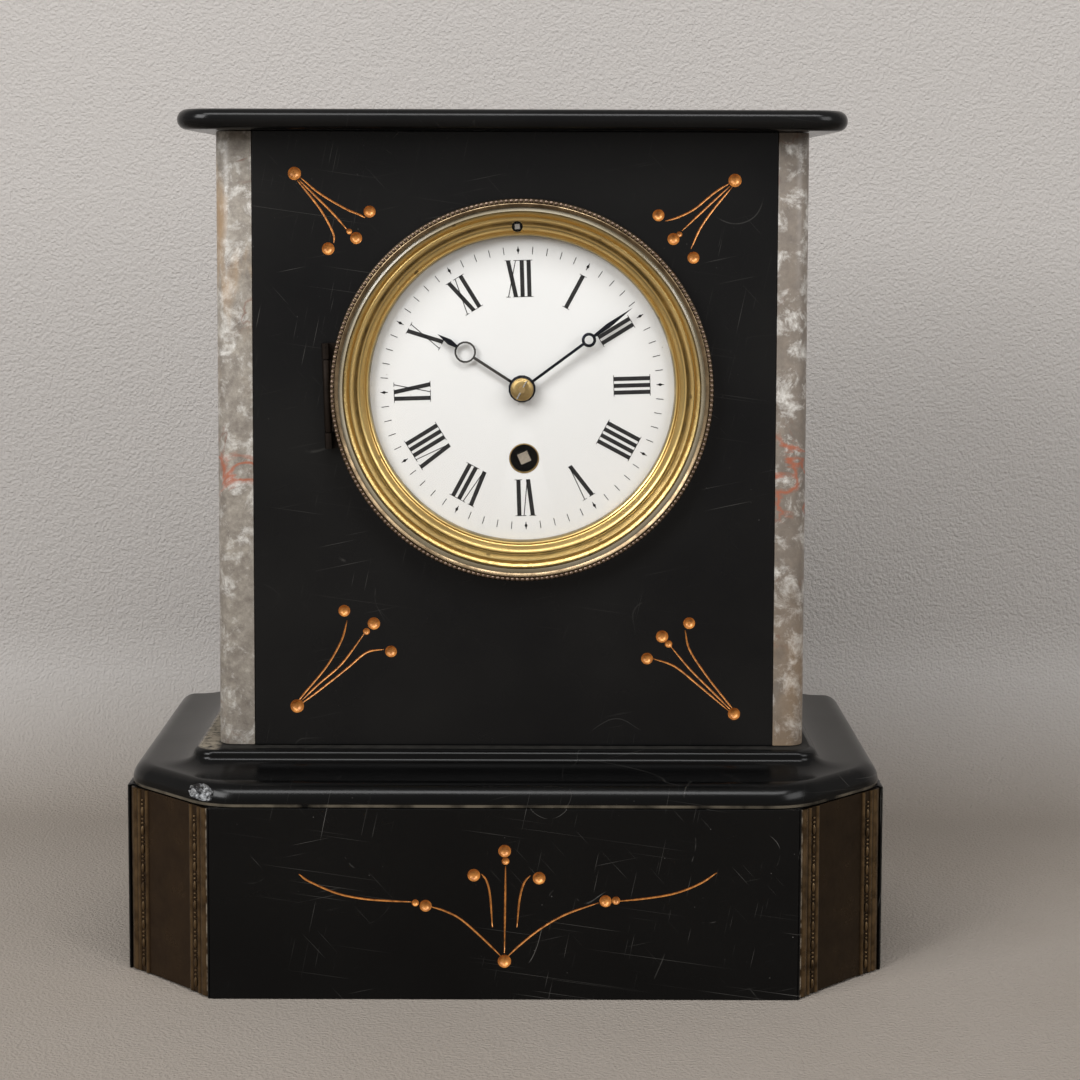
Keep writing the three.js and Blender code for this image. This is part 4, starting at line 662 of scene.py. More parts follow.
# %% The sprays, in millimetres on the face of their slab
sprays = {
    "front_panel": [
        {"hollows": [(-67.2, 258.4, 2.1), (-43.4, 246.4, 1.9), (-47.7, 238.0, 1.9), (-49.9, 240.1, 0.9),
                     (-56.6, 234.6, 2.0)],
         "lines": [[(-65.4, 257.2), (-59.4, 252.2), (-51.5, 247.5), (-47.1, 245.6), (-44.9, 244.5)],
                   [(-65.7, 256.3), (-59.4, 250.1), (-54.7, 245.4), (-50.7, 240.8)],
                   [(-66.4, 256.3), (-62.6, 251.7), (-58.5, 246.2), (-55.0, 239.5), (-54.8, 236.4)]]},
        {"hollows": [(72.5, 256.6, 2.1), (48.3, 245.5, 1.9), (53.1, 238.0, 1.9), (55.0, 239.5, 0.9),
                     (59.5, 232.1, 1.9)],
         "lines": [[(70.6, 255.6), (65.9, 252.6), (59.7, 247.5), (54.5, 244.9), (50.5, 243.7)],
                   [(70.9, 254.8), (63.6, 248.0), (55.8, 240.6)],
                   [(71.6, 254.5), (65.9, 247.6), (61.7, 241.5), (58.7, 234.9)]]},
        {"hollows": [(-67.2, 87.2, 2.2), (-51.9, 118.3, 1.9), (-42.4, 114.2, 2.0), (-44.8, 111.6, 1.1),
                     (-36.9, 105.1, 1.9)],
         "lines": [[(-51.0, 115.2), (-52.8, 108.7), (-57.6, 100.2), (-65.0, 91.2), (-66.6, 89.1)],
                   [(-45.4, 111.0), (-52.8, 101.0), (-60.1, 94.5), (-66.0, 88.8)],
                   [(-39.2, 105.8), (-44.8, 104.7), (-51.2, 99.4), (-60.2, 92.2), (-65.7, 88.1)]]},
        {"hollows": [(73.8, 85.0, 2.0), (59.1, 114.6, 1.9), (50.4, 110.2, 2.0), (52.5, 107.8, 1.2),
                     (45.6, 103.0, 1.9)],
         "lines": [[(57.8, 112.3), (59.3, 105.9), (64.9, 97.3), (71.2, 89.3), (73.2, 86.9)],
                   [(53.1, 107.1), (59.4, 99.6), (66.5, 92.5), (72.5, 86.5)],
                   [(47.5, 103.0), (54.6, 100.4), (62.6, 94.0), (72.2, 85.9)]]},
    ],
    "plinth_front_panel": [
        {"hollows": [(0.2, 12.3, 2.1), (0.2, 47.5, 2.0), (0.5, 44.3, 1.2), (-9.4, 39.8, 2.0),
                     (11.0, 38.9, 2.0), (31.8, 31.6, 1.9), (35.1, 31.8, 1.3), (-24.5, 30.0, 1.9),
                     (-27.7, 30.9, 1.1)],
         "lines": [[(0.5, 42.7), (0.4, 31.8), (0.2, 14.9)],
                   [(-7.0, 40.2), (-5.4, 37.9), (-4.3, 33.1), (-3.6, 23.2)],
                   [(8.3, 39.8), (6.3, 37.3), (4.9, 31.9), (4.1, 23.2)],
                   [(1.3, 13.9), (5.4, 17.8), (11.5, 22.7), (19.3, 27.3), (29.7, 31.1)],
                   [(-0.9, 13.9), (-6.0, 19.0), (-13.2, 25.5), (-18.4, 28.3), (-22.8, 29.7)],
                   [(36.0, 31.6), (45.1, 32.6), (53.7, 34.2), (61.2, 37.2), (66.6, 40.8)],
                   [(-28.9, 31.2), (-37.2, 31.6), (-44.3, 32.2), (-52.3, 33.9), (-61.0, 37.7),
                    (-64.1, 40.0)]]},
    ],
}
graver_radius, hollow_share = 0.3, 0.62
curve_steps, taper_points, fine_end = 6, 4, 0.45
print("sprays:", {node: len(groups) for node, groups in sprays.items()})


# %% Cut the sprays
def smooth_line(points):
    """Points of a curve that passes through all the given ones."""
    ends = [2 * points[0] - points[1], *points, 2 * points[-1] - points[-2]]
    line = []
    for a, b, c, d in zip(ends, ends[1:], ends[2:], ends[3:]):
        for i in range(curve_steps):
            t = i / curve_steps
            line.append(0.5 * (2 * b + (c - a) * t + (2 * a - 5 * b + 4 * c - d) * t * t
                               + (3 * b - 3 * c + d - a) * t ** 3))
    return line + [points[-1]]


def graver_path(points, face):
    """A round tool drawn through the points: a smooth curve given thickness, finer at its ends."""
    curve = bpy.data.curves.new("graver", "CURVE")
    curve.dimensions = "3D"
    curve.bevel_depth = graver_radius * MM
    curve.bevel_resolution = 2
    curve.use_fill_caps = True
    path = smooth_line([Vector(point) for point in points])
    line = curve.splines.new("POLY")
    line.points.add(len(path) - 1)
    for i, (x, z) in enumerate(path):
        from_end = min(i, len(path) - 1 - i)
        line.points[i].co = (x * MM, face * MM, z * MM, 1)
        line.points[i].radius = fine_end + (1 - fine_end) * min(1, from_end / taper_points)
    tool = bpy.data.objects.new("graver", curve)
    bpy.context.scene.collection.objects.link(tool)
    make_active(tool)
    bpy.ops.object.convert(target="MESH")
    return bpy.context.object


def spray_tool(name, groups, face):
    """All the spheres and gravers that cut one slab, joined."""
    tools = []
    for group in groups:
        for x, z, radius in group["hollows"]:
            reach = radius * (1 + hollow_share ** 2) / (2 * hollow_share)
            centre = face - reach + radius * hollow_share
            sphere = open_piece("drill", bpy.ops.mesh.primitive_uv_sphere_add,
                                segments=24, ring_count=16, radius=reach * MM,
                                location=(x * MM, centre * MM, z * MM))
            make_active(sphere)
            tools.append(sphere)
        tools += [graver_path(line, face) for line in group["lines"]]
    tool = join(name, tools)
    tool.data.materials.clear()
    tool.data.materials.append(gold_paint.material)
    return settle(tool)


def cut_by(piece, tool):
    """Takes the tool out of the piece and leaves the tool's finish on the cut."""
    apply_modifier(piece, "BOOLEAN", operation="DIFFERENCE", object=tool, solver="EXACT",
                   use_self=True, material_mode="TRANSFER")
    bpy.data.objects.remove(tool)
    return piece


for node, width, finish in (("front_panel", 0.3, slate_panel), ("plinth_front_panel", 0.4, slate_plinth)):
    slab = eased(node, width)
    slab.data.materials.append(finish)
    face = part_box(node)[0].y / MM
    cut_by(slab, spray_tool("spray_tool", sprays[node], face))
    weigh(settle(slab, smooth=30))
    ready(slab, None, "case", "slate", node)

# %% [markdown]
# ## The top slab
# The top is one slab whose front and sides are worked to a full round, with generous corners
# in plan; its back stays flat against the wall. A block is bevelled at its two front corners and
# then along its top and bottom edges, which meet in the middle and make the round.

# %% Top slab
slab_corner, slab_round = 12, 3.2


def open_block(node, name):
    """Opens a block that fills a node's box, ready for its edges to be chosen."""
    low, high = (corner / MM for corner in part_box(node))
    piece = open_piece(name, bpy.ops.mesh.primitive_cube_add, size=1,
                       location=(low + high) / 2 * MM, scale=(high - low) * MM)
    settle_bare(piece)
    bpy.ops.object.mode_set(mode="EDIT")
    bpy.ops.mesh.select_mode(type="EDGE")
    return piece, low, high


def top_slab():
    piece, low, high = open_block("top_slab", "slate_top")
    choose("edges", lambda at, along: abs(along.z) > 1 and at.y < (low.y + high.y) / 2)
    bpy.ops.mesh.bevel(offset=slab_corner * MM, segments=14, profile=0.5)
    choose("edges", lambda at, along: abs(along.z) < 0.01 and at.y < high.y - 0.01)
    bpy.ops.mesh.bevel(offset=slab_round * MM, segments=8, profile=0.5, clamp_overlap=False)
    tidy_mesh()
    return settle(piece, smooth=35)


ready(top_slab(), slate_top, "case", "slate", "top_slab")

# %% [markdown]
# ## The marble pilasters
# Each pilaster is a marble bar let into the front corner of the body, its outer edge worked to a
# 5 mm round. A block is bevelled once on that one edge and then eased all over.

# %% Pilasters
pilaster_round, pilaster_easing = 5, 0.35


def pilaster(node, side):
    """A marble bar, rounded on its outer front edge; side is -1 for the left one."""
    piece, low, high = open_block(node, node + "_bar")
    outer = low.x if side < 0 else high.x
    choose("edges", lambda at, along: (
        abs(along.z) > 1 and abs(at.x - outer) < 0.01 and abs(at.y - low.y) < 0.01))
    bpy.ops.mesh.bevel(offset=pilaster_round * MM, segments=10, profile=0.5)
    make_active(piece)
    apply_modifier(piece, "BEVEL", width=pilaster_easing * MM, segments=2, limit_method="ANGLE",
                   angle_limit=math.radians(40))
    return settle(piece, smooth=40)


for node, side, finish in (("left_pilaster", -1, left_marble), ("right_pilaster", 1, right_marble)):
    ready(pilaster(node, side), finish, "case", "marble", node)

# %% [markdown]
# ## The plinth moulding
# One block of slate carries the body: above a thin fillet it swells in a quarter round, then
# sweeps up in a cove to a small ledge, and its corners change from a wide cant to a tight round.
# A ring of edges is extruded level by level, and at each level its points are set to the outline
# there. A rough ball then bites out the chip that the left corner has lost.

# %% Moulding outline and levels
plinth_half, plinth_front, plinth_back = 122.7, -68.5, 68.5
cant_leg, ledge_leg = 30.3, 4
cant_round, ledge_round = 22, 6.5
ledge_inset, corner_steps = 22, 12
moulding_low, fillet_inset, fillet_top, swell = 61.0, 0.8, 61.8, 6.2
cove_inset, cove_width, cove_low, cove_rise = 8, 14, 68.0, 4.1
ledge_levels = [(22.02, 72.4), (22.15, 72.9), (22.5, 73.4), (23.0, 73.8), (23.7, 74.1), (24.5, 74.26),
                (25.4, 74.3)]


def moulding_outline(inset):
    """Points of the outline at an inset: square at the back, canted and rounded in front."""
    share = min(inset / ledge_inset, 1)
    leg = cant_leg + (ledge_leg - cant_leg) * share
    radius = cant_round + (ledge_round - cant_round) * share
    x, y = plinth_half - inset, plinth_front + inset
    ends = [Vector(corner) for corner in (
        (-x, plinth_back), (-x, y + leg), (-x + leg, y), (x - leg, y), (x, y + leg), (x, plinth_back))]
    points = [ends[0]]
    for before, corner, after in zip(ends, ends[1:], ends[2:]):
        into, out = (before - corner).normalized(), (after - corner).normalized()
        half = into.angle(out) / 2
        reach = min(radius / math.tan(half), leg * 0.7 * math.sqrt(0.5) if leg > 5 else leg * 0.7)
        true_radius = reach * math.tan(half)
        centre = corner + (into + out).normalized() * true_radius / math.sin(half)
        start, end = corner + into * reach - centre, corner + out * reach - centre
        sweep = start.angle_signed(end)
        for i in range(corner_steps + 1):
            turn = Matrix.Rotation(-sweep * i / corner_steps, 2)
            points.append(centre + turn @ start)
    return points + [ends[-1]]


def moulding_levels():
    """(inset, height) pairs up the section, with the arcs as short steps."""
    levels = [(fillet_inset, moulding_low), (fillet_inset, fillet_top)]
    levels += [(fillet_inset + swell * (1 - math.cos(a)), fillet_top + swell * math.sin(a))
               for a in (math.pi / 2 * i / 10 for i in range(1, 11))]
    levels += [(cove_inset + cove_width * math.sin(a), cove_low + cove_rise * (1 - math.cos(a)))
               for a in (math.pi / 2 * i / 14 for i in range(15))]
    return levels + ledge_levels


print("moulding:", len(moulding_levels()), "levels of", len(moulding_outline(0)), "points")


# %% Extrude the moulding and bite out the chip
chip_size, chip_place, chip_turn = (6.8, 3.3, 3.1), (-96.2, -64.7, 65.3), -33


def plinth_moulding():
    levels = moulding_levels()
    piece = open_piece("moulding_block", bpy.ops.mesh.primitive_circle_add,
                       vertices=len(moulding_outline(0)), radius=0.1, fill_type="NOTHING")
    bpy.ops.mesh.select_mode(type="VERT")
    for number, (inset, height) in enumerate(levels):
        if number:
            bpy.ops.mesh.extrude_edges_move(TRANSFORM_OT_translate={"value": (0, 0, 0.001)})
        work = bmesh.from_edit_mesh(piece.data)
        work.verts.ensure_lookup_table()
        ring = sorted((v for v in work.verts if v.select), key=lambda v: v.index)
        for vertex, point in zip(ring, moulding_outline(inset)):
            vertex.co = (point.x * MM, point.y * MM, height * MM)
        bmesh.update_edit_mesh(piece.data)
    bpy.ops.mesh.edge_face_add()
    choose("verts", lambda at: at.z < levels[0][1] + 0.01)
    bpy.ops.mesh.edge_face_add()
    tidy_mesh()
    make_active(piece)
    piece.data.materials.append(moulding_slate.material)
    return piece


def chip_tool():
    """A rough ball at the left front corner of the quarter round."""
    tool = open_piece("chip", bpy.ops.mesh.primitive_ico_sphere_add, subdivisions=3, radius=1,
                      location=(0, 0, 0))
    work = bmesh.from_edit_mesh(tool.data)
    for vertex in work.verts:
        x, y, z = vertex.co
        rough = (1 + 0.10 * math.sin(7.3 * x + 2.1 * z) + 0.08 * math.sin(11 * z - 5 * x)
                 + 0.06 * math.sin(17 * y))
        vertex.co = Vector((x * chip_size[0], y * chip_size[1], z * chip_size[2])) * rough * MM
    bmesh.update_edit_mesh(tool.data)
    make_active(tool)
    tool.data.materials.append(fresh_break.material)
    return settle(tool, place=chip_place, turn=(0, 0, chip_turn))


moulding = cut_by(plinth_moulding(), chip_tool())
settle(moulding, smooth=32)
ready(moulding, None, "case", "slate", "plinth_moulding")

# %% [markdown]
# ## The corner plates
# A pressed brass plate covers each canted corner: a plain field between borders of ribs and a row
# of long beads with little pairs of reels. The section is drawn as a chain of points, filled and
# pulled up; one bead with its reels is modelled and an array repeats it up the plate.

# %% Chains of points
def open_chain(name, points):
    """Opens a piece as a chain of points, in millimetres, drawn one after another."""
    piece = open_piece(name, bpy.ops.mesh.primitive_plane_add, size=MM)
    bpy.ops.mesh.merge(type="CENTER")
    bpy.ops.transform.translate(value=Vector(points[0]) * MM)
    for before, after in zip(points, points[1:]):
        bpy.ops.mesh.extrude_vertices_move(
            TRANSFORM_OT_translate={"value": (Vector(after) - Vector(before)) * MM})
    return piece


def closed_chain(name, points):
    """A chain that ends where it began, with the doubled point merged."""
    piece = open_chain(name, points + points[:1])
    bpy.ops.mesh.select_all(action="SELECT")
    bpy.ops.mesh.remove_doubles(threshold=merge_distance)
    return piece


# %% Corner plates
plate_half, plate_border, plate_relief, plate_thickness = 20.2, 9.3, 0.7, 1.5
plate_low, plate_high = 0.4, 60.4
plate_ribs = [(0, 0), (0.05, 0.75), (0.1, 1), (0.15, 0.75), (0.2, 0.15), (0.44, 0.15), (0.48, 0.8),
              (0.52, 1), (0.57, 0.8), (0.61, 0.2), (0.66, 0.7), (0.72, 1), (0.8, 1), (0.88, 0.85),
              (0.94, 0.45), (1, 0.25)]
bead_pitch, bead_share = 6.2, 0.32
bead_and_reels = [(1.7, 0.72, 0), (0.5, 0.6, 2.4), (0.5, 0.6, 3.75)]


def ribbed_plate():
    """The plate in its own frame: width along X, its face towards -Y."""
    start = plate_half - plate_border
    raised = [(start + s * plate_border, -t * plate_relief, plate_low) for s, t in plate_ribs]
    mirrored = [(-x, y, z) for x, y, z in reversed(raised)]
    back = plate_thickness - plate_relief
    section = mirrored + raised + [(plate_half, back, plate_low), (-plate_half, back, plate_low)]
    piece = closed_chain("plate", section)
    bpy.ops.mesh.select_all(action="SELECT")
    bpy.ops.mesh.edge_face_add()
    bpy.ops.mesh.extrude_region_move(
        TRANSFORM_OT_translate={"value": (0, 0, (plate_high - plate_low) * MM)})
    tidy_mesh()
    return settle(piece, smooth=25)


def bead_row(x):
    """A row of long beads, each with two small reels: half length, half width and height."""
    first = plate_low + bead_pitch / 2
    piece = open_piece("beads", bpy.ops.mesh.primitive_plane_add, size=MM)
    bpy.ops.mesh.delete(type="VERT")
    for length, width, up in bead_and_reels:
        bpy.ops.mesh.primitive_uv_sphere_add(
            segments=10, ring_count=6, radius=1, location=(x * MM, -0.1 * MM, (first + up) * MM),
            scale=(width * MM, width * MM, length * MM))
    make_active(piece)
    count = int((plate_high - plate_low) / bead_pitch)
    apply_modifier(piece, "ARRAY", count=count, use_relative_offset=False, use_constant_offset=True,
                   constant_offset_displace=(0, 0, bead_pitch * MM))
    return settle(piece, smooth=60)


def corner_plate(node, side):
    bead_x = plate_half - plate_border + bead_share * plate_border
    plate = join(node + "_pressing", [ribbed_plate(), bead_row(-bead_x), bead_row(bead_x)])
    inward = plate_relief / math.sqrt(2)
    x = side * (plinth_half - cant_leg / 2 - inward)
    y = plinth_front + cant_leg / 2 + inward
    return settle(plate, place=(x, y, 0), turn=(0, 0, side * 45), smooth=30)


for node, side in (("left_cant_plate", -1), ("right_cant_plate", 1)):
    ready(corner_plate(node, side), plate_metals[side], "case", "patinated_brass", node)

# %% [markdown]
# ## Turned pieces
# The bezel, its glass, the sight ring and the dial were all turned, so they are drawn as a chain
# of points and spun round the dial's axis. The works stand 1.8 degrees out of upright, because
# the clock was set in beat that way, so every turned piece gets the same small turn.

# %% Turning
works_place, works_turn = (5.1, 0, 189.8), (0, -1.8, 0)
full_turn = 2 * math.pi


def turned(name, outline, steps=192, closed=True):
    """Spins a chain of (radius, depth) points round the Y axis; one that isn't closed ends on it."""
    points = [(r, y, 0) for r, y in outline]
    piece = closed_chain(name, points) if closed else open_chain(name, points)
    bpy.ops.mesh.select_all(action="SELECT")
    bpy.ops.mesh.spin(steps=steps, angle=full_turn, center=(0, 0, 0), axis=(0, 1, 0))
    tidy_mesh()
    make_active(piece)
    return piece


def ring_of(piece, count):
    """Copies a piece that stands upright over the origin round the Y axis."""
    make_active(piece)
    bpy.ops.object.mode_set(mode="EDIT")
    bpy.ops.mesh.select_all(action="SELECT")
    bpy.ops.mesh.spin(steps=count - 1, dupli=True, angle=full_turn * (count - 1) / count,
                      center=(0, 0, 0), axis=(0, 1, 0))
    make_active(piece)
    return piece


def in_works(piece, smooth=30):
    """Puts a piece modelled round the origin into the turned works."""
    return settle(piece, place=works_place, turn=works_turn, smooth=smooth)


def drill(piece, z, radius, front, back, sides=32):
    """Bores a hole along Y, at a height, through a piece that is still round the origin."""
    tool = open_piece("bit", bpy.ops.mesh.primitive_cylinder_add, vertices=sides, radius=radius * MM,
                      depth=(back - front) * MM, location=(0, (front + back) / 2 * MM, z * MM),
                      rotation=(math.pi / 2, 0, 0))
    settle_bare(tool)
    return cut_by(piece, tool)


print("works at", works_place, "turned", works_turn)


# %% Hinge barrels and leaves
knuckle_easing = 0.15


def knuckle(x, y, radius, half):
    """A hinge barrel along Z."""
    piece = open_piece("knuckle", bpy.ops.mesh.primitive_cylinder_add, vertices=20, radius=radius * MM,
                       depth=2 * half * MM, location=(x * MM, y * MM, 0))
    settle_bare(piece)
    apply_modifier(piece, "BEVEL", width=knuckle_easing * MM, segments=2, limit_method="ANGLE")
    return piece


def leaf(x0, x1, y0, y1, half):
    """The flat leaf that carries a hinge barrel."""
    piece = open_piece("leaf", bpy.ops.mesh.primitive_cube_add, size=1,
                       location=((x0 + x1) / 2 * MM, (y0 + y1) / 2 * MM, 0),
                       scale=((x1 - x0) * MM, (y1 - y0) * MM, 2 * half * MM))
    settle_bare(piece)
    return piece


# %% [markdown]
# ## The bezel and its glass
# The hinged bezel is a turned brass ring with a milled edge: about 240 tiny beads that catch the
# light one by one. One bead is modelled and the spin operator copies it round. Inside the beads a
# lip holds the glass and slopes in towards it, and the hinge barrel sits on the left.

# %% Bezel
bezel_outline = [
    (58.3, -46.0), (58.28, -46.08), (58.36, -46.16), (59.15, -46.56), (59.28, -46.6), (59.45, -46.5),
    (59.6, -46.2), (59.75, -45.9), (60.6, -45.7), (60.9, -45.3), (61.0, -44.9), (61.0, -42.7),
    (60.8, -42.5), (59.5, -42.5), (59.3, -42.7), (59.3, -45.9), (59.15, -46.0)]
bead_count, bead_circle, bead_depth, bead_size = 240, 60.25, -46.0, (0.66, 0.5, 0.55)


def bezel_beads():
    piece = open_piece("milling", bpy.ops.mesh.primitive_uv_sphere_add, segments=8, ring_count=6, radius=1,
                       location=(0, bead_depth * MM, bead_circle * MM),
                       scale=[half * MM for half in bead_size])
    settle_bare(piece)
    return ring_of(piece, bead_count)


hinge_x, hinge_y, hinge_radius = -61.95, -43.5, 1.25
bezel_parts = [(turned("bezel", bezel_outline), rim_brass), (bezel_beads(), bead_brass),
               (knuckle(hinge_x, hinge_y, hinge_radius, 11.5), dark_brass),
               (leaf(hinge_x, -60.3, hinge_y - 0.3, hinge_y + 0.5, 11.3), dark_brass)]
for part, metal in bezel_parts:
    part.data.materials.append(metal)
bezel = join("bezel_ring", [part for part, metal in bezel_parts])
ready(in_works(bezel), None, "bezel", "gilt_brass", "bezel_frame")

# %% Glass
glass_outline = [(0, -45.7), (57.0, -45.7), (57.2, -45.64), (58.85, -45.0), (59.0, -44.8),
                 (59.0, -43.6), (58.9, -43.5), (0, -43.5)]
bevel_from = 57.05
pane = turned("bezel_pane", glass_outline, closed=False)
in_works(pane, smooth=20)
for glass in (clear_glass, bevel_glass):
    pane.data.materials.append(glass.material)
for face in pane.data.polygons:
    x, z = face.center.x / MM - works_place[0], face.center.z / MM - works_place[2]
    face.material_index = 1 if Vector((x, z)).length > bevel_from else 0
ready(pane, None, "bezel", "glass", "bezel_glass")

# %% [markdown]
# ## The sight ring
# Between glass and dial a stepped gilt ring slopes inwards in coves and beads. Its section
# follows the bands of light on the real one: a narrow bright bead, an olive hollow, a broad
# polished slope and a last thin bead at the dial. A small hole at twelve shows the rating square.

# %% Sight ring
sight_outer, sight_bore, sight_front, sight_back = 57.2, 48.9, -43.2, -35.8
sight_bands = [
    (0, 0.02), (0.06, 0.0), (0.13, 0.03), (0.18, 0.10), (0.21, 0.13), (0.235, 0.10), (0.26, 0.035),
    (0.30, 0.015), (0.34, 0.03), (0.37, 0.09), (0.41, 0.20), (0.455, 0.31), (0.50, 0.36), (0.53, 0.345),
    (0.56, 0.325), (0.60, 0.335), (0.65, 0.37), (0.70, 0.43), (0.76, 0.51), (0.81, 0.585), (0.835, 0.60),
    (0.86, 0.575), (0.90, 0.55), (0.94, 0.57), (0.965, 0.63), (0.985, 0.74), (1, 0.96), (1, 1)]
rating_height, rating_hole = 52, 1.75


def sight_ring():
    width, depth = sight_outer - sight_bore, sight_back - sight_front
    front = [(sight_outer - s * width, sight_front + t * depth) for s, t in sight_bands]
    back = [(sight_bore + 1.1, sight_back), (sight_bore + 1.1, sight_front + 0.74 * depth),
            (sight_outer - 0.45 * width, sight_front + 0.52 * depth),
            (sight_outer - 0.3 * width, sight_front + 0.2 * depth),
            (sight_outer, sight_front + 0.17 * depth)]
    piece = turned("sight", front + back, steps=240)
    piece.data.materials.append(gilt)
    return drill(piece, rating_height, rating_hole, front=-44, back=-35)


sight = sight_ring()
sight.name = sight.data.name = "sight_ring_turned"
ready(in_works(sight, smooth=32), gilt, "case", "gilt_brass", "sight_ring")

# %% [markdown]
# ## The dial
# A copper disc carries the white enamel, slightly rounded at its edge, with a hole for the hands
# and one for the key. A brass eyelet lines the winding hole.

# %% Dial plate
dial_front, dial_back, dial_radius = -35.5, -33.9, 50.4
winding_drop, winding_radius = 22.6, 4.85
dial_outline = [(3.2, dial_front + 0.1), (3.3, dial_front), (49.6, dial_front),
                (50.1, dial_front + 0.12), (dial_radius, dial_front + 0.5), (dial_radius, dial_back),
                (3.2, dial_back)]
dial = turned("dial_plate", dial_outline)
dial.data.materials.append(enamel.material)
drill(dial, -winding_drop, winding_radius, front=-37, back=-32, sides=48)
ready(in_works(dial, smooth=25), enamel.material, "case", "enamel", "dial")

# %% Eyelet of the winding hole
eyelet_section = [(0.05, dial_front - 0.12), (0.3, dial_front - 0.15), (0.42, dial_front),
                  (0.45, dial_back), (0.05, dial_back)]
eyelet = turned("winding_eyelet", [(winding_radius - inward, y) for inward, y in eyelet_section], steps=64)
settle(eyelet, place=(0, 0, -winding_drop))
ready(in_works(eyelet), collet_brass, "case", "gilt_brass")

# %% [markdown]
# ## Numerals and minute marks
# The chapters are Roman, with their tops outwards, thick strokes and hair-thin ones, joined by
# hairline serifs; four is written with four strokes. Each numeral is drawn upright from bars,
# trimmed level with the bisect operator, and then turned to its hour.

# %% Numerals
numeral_low, numeral_high = 29.4, 41.25
thick, thin, serif, paint = 1.32, 0.26, 0.18, 0.06
paint_middle = dial_front - paint / 2
letter_width = {"I": 2.2, "V": 4.1, "X": 4.3}
hours = ["XII", "I", "II", "III", "IIII", "V", "VI", "VII", "VIII", "IX", "X", "XI"]


def bar(x0, z0, x1, z1, width):
    """Adds a painted bar between two points of the open dial mesh, a little over-long."""
    along = Vector((x1 - x0, 0, z1 - z0))
    middle = Vector(((x0 + x1) / 2, paint_middle, (z0 + z1) / 2))
    lean = math.atan2(along.x, along.z)
    bpy.ops.mesh.primitive_cube_add(size=1, location=middle * MM, rotation=(0, lean, 0),
                                    scale=(width * MM, paint * MM, (along.length + 2 * width) * MM))


def trim_level(height, upwards):
    """Cuts off all that is past a height and closes the cut."""
    bpy.ops.mesh.select_all(action="SELECT")
    bpy.ops.mesh.bisect(plane_co=(0, 0, height * MM), plane_no=(0, 0, 1 if upwards else -1),
                        clear_outer=True, use_fill=True)


def numeral(text, hour):
    """One hour in Roman strokes, drawn upright and turned to its place."""
    piece = open_piece("hour_" + str(hour), bpy.ops.mesh.primitive_plane_add, size=MM)
    bpy.ops.mesh.delete(type="VERT")
    width = sum(letter_width[letter] for letter in text)
    at = -width / 2
    serifs = []
    low, high = numeral_low, numeral_high
    for letter in text:
        span = letter_width[letter]
        middle = at + span / 2
        if letter == "I":
            bar(middle, low, middle, high, thick)
            serifs += [(middle - 1.25, middle + 1.25, low), (middle - 1.25, middle + 1.25, high)]
        elif letter == "V":
            bar(middle - 1.2, high, middle + 0.05, low, thick)
            bar(middle + 1.65, high, middle + 0.3, low, thin)
            serifs += [(middle - 2.3, middle - 0.1, high), (middle + 0.9, middle + 2.3, high)]
        else:
            bar(middle - 1.15, high, middle + 1.15, low, thick)
            bar(middle + 1.3, high, middle - 1.3, low, thin)
            serifs += [(middle - 2.2, middle - 0.2, high), (middle + 0.6, middle + 2.0, high),
                       (middle - 2.0, middle - 0.6, low), (middle + 0.2, middle + 2.2, low)]
        at += span
    trim_level(high, True)
    trim_level(low, False)
    for x0, x1, z in serifs:
        spot = Vector(((x0 + x1) / 2, paint_middle, z + (serif / 2 if z == low else -serif / 2)))
        bpy.ops.mesh.primitive_cube_add(size=1, location=spot * MM,
                                        scale=((x1 - x0) * MM, paint * MM, serif * MM))
    make_active(piece)
    piece.rotation_euler = (0, math.radians(30 * hour), 0)
    bpy.ops.object.transform_apply(rotation=True)
    return piece


figures = [numeral(text, hour) for hour, text in enumerate(hours)]
print("numerals:", len(figures))

# %% Minute marks
tick_low, tick_high, tick_width = 43.2, 45.6, 0.22
diamond_place, diamond_half, diamond_squeeze = 44.4, 0.95, 0.5


def minute_marks():
    """Sixty ticks, and a narrow diamond at each hour."""
    tick = open_piece("tick", bpy.ops.mesh.primitive_cube_add, size=1,
                      location=Vector((0, paint_middle, (tick_low + tick_high) / 2)) * MM,
                      scale=(tick_width * MM, paint * MM, (tick_high - tick_low) * MM))
    settle_bare(tick)
    diamond = open_piece("diamond", bpy.ops.mesh.primitive_cylinder_add, vertices=4,
                         radius=diamond_half * MM, depth=paint * MM,
                         location=Vector((0, paint_middle, diamond_place)) * MM,
                         rotation=(math.pi / 2, 0, 0))
    settle_bare(diamond)
    bpy.ops.object.mode_set(mode="EDIT")
    bpy.ops.mesh.select_all(action="SELECT")
    bpy.ops.transform.resize(value=(diamond_squeeze, 1, 1),
                             center_override=Vector((0, dial_front, diamond_place)) * MM)
    return [ring_of(tick, 60), ring_of(diamond, 12)]


marks = join("dial_figures", figures + minute_marks())
ready(in_works(marks, smooth=20), ink.material, "case", "enamel")

# %% [markdown]
# ## The hands
# The hands are sawn from thin steel with an open ring near the tip, then blued. Their outline is
# already right in the frame, so each is a merged copy with softened edges. A domed brass collet
# holds them on; the taper pin through it stays as the frame made it.

# %% Hands and collet
hand_easing = 0.09
for node, body, metal in (("hour_hand", "hour", hour_steel_with_sheen), ("minute_hand", "centre", blued_steel)):
    hand = copy_of(node, node + "_blued")
    apply_modifier(hand, "BEVEL", width=hand_easing * MM, segments=2, limit_method="ANGLE",
                   angle_limit=math.radians(50))
    ready(settle(hand, smooth=50), metal, body, "blued_steel", node)

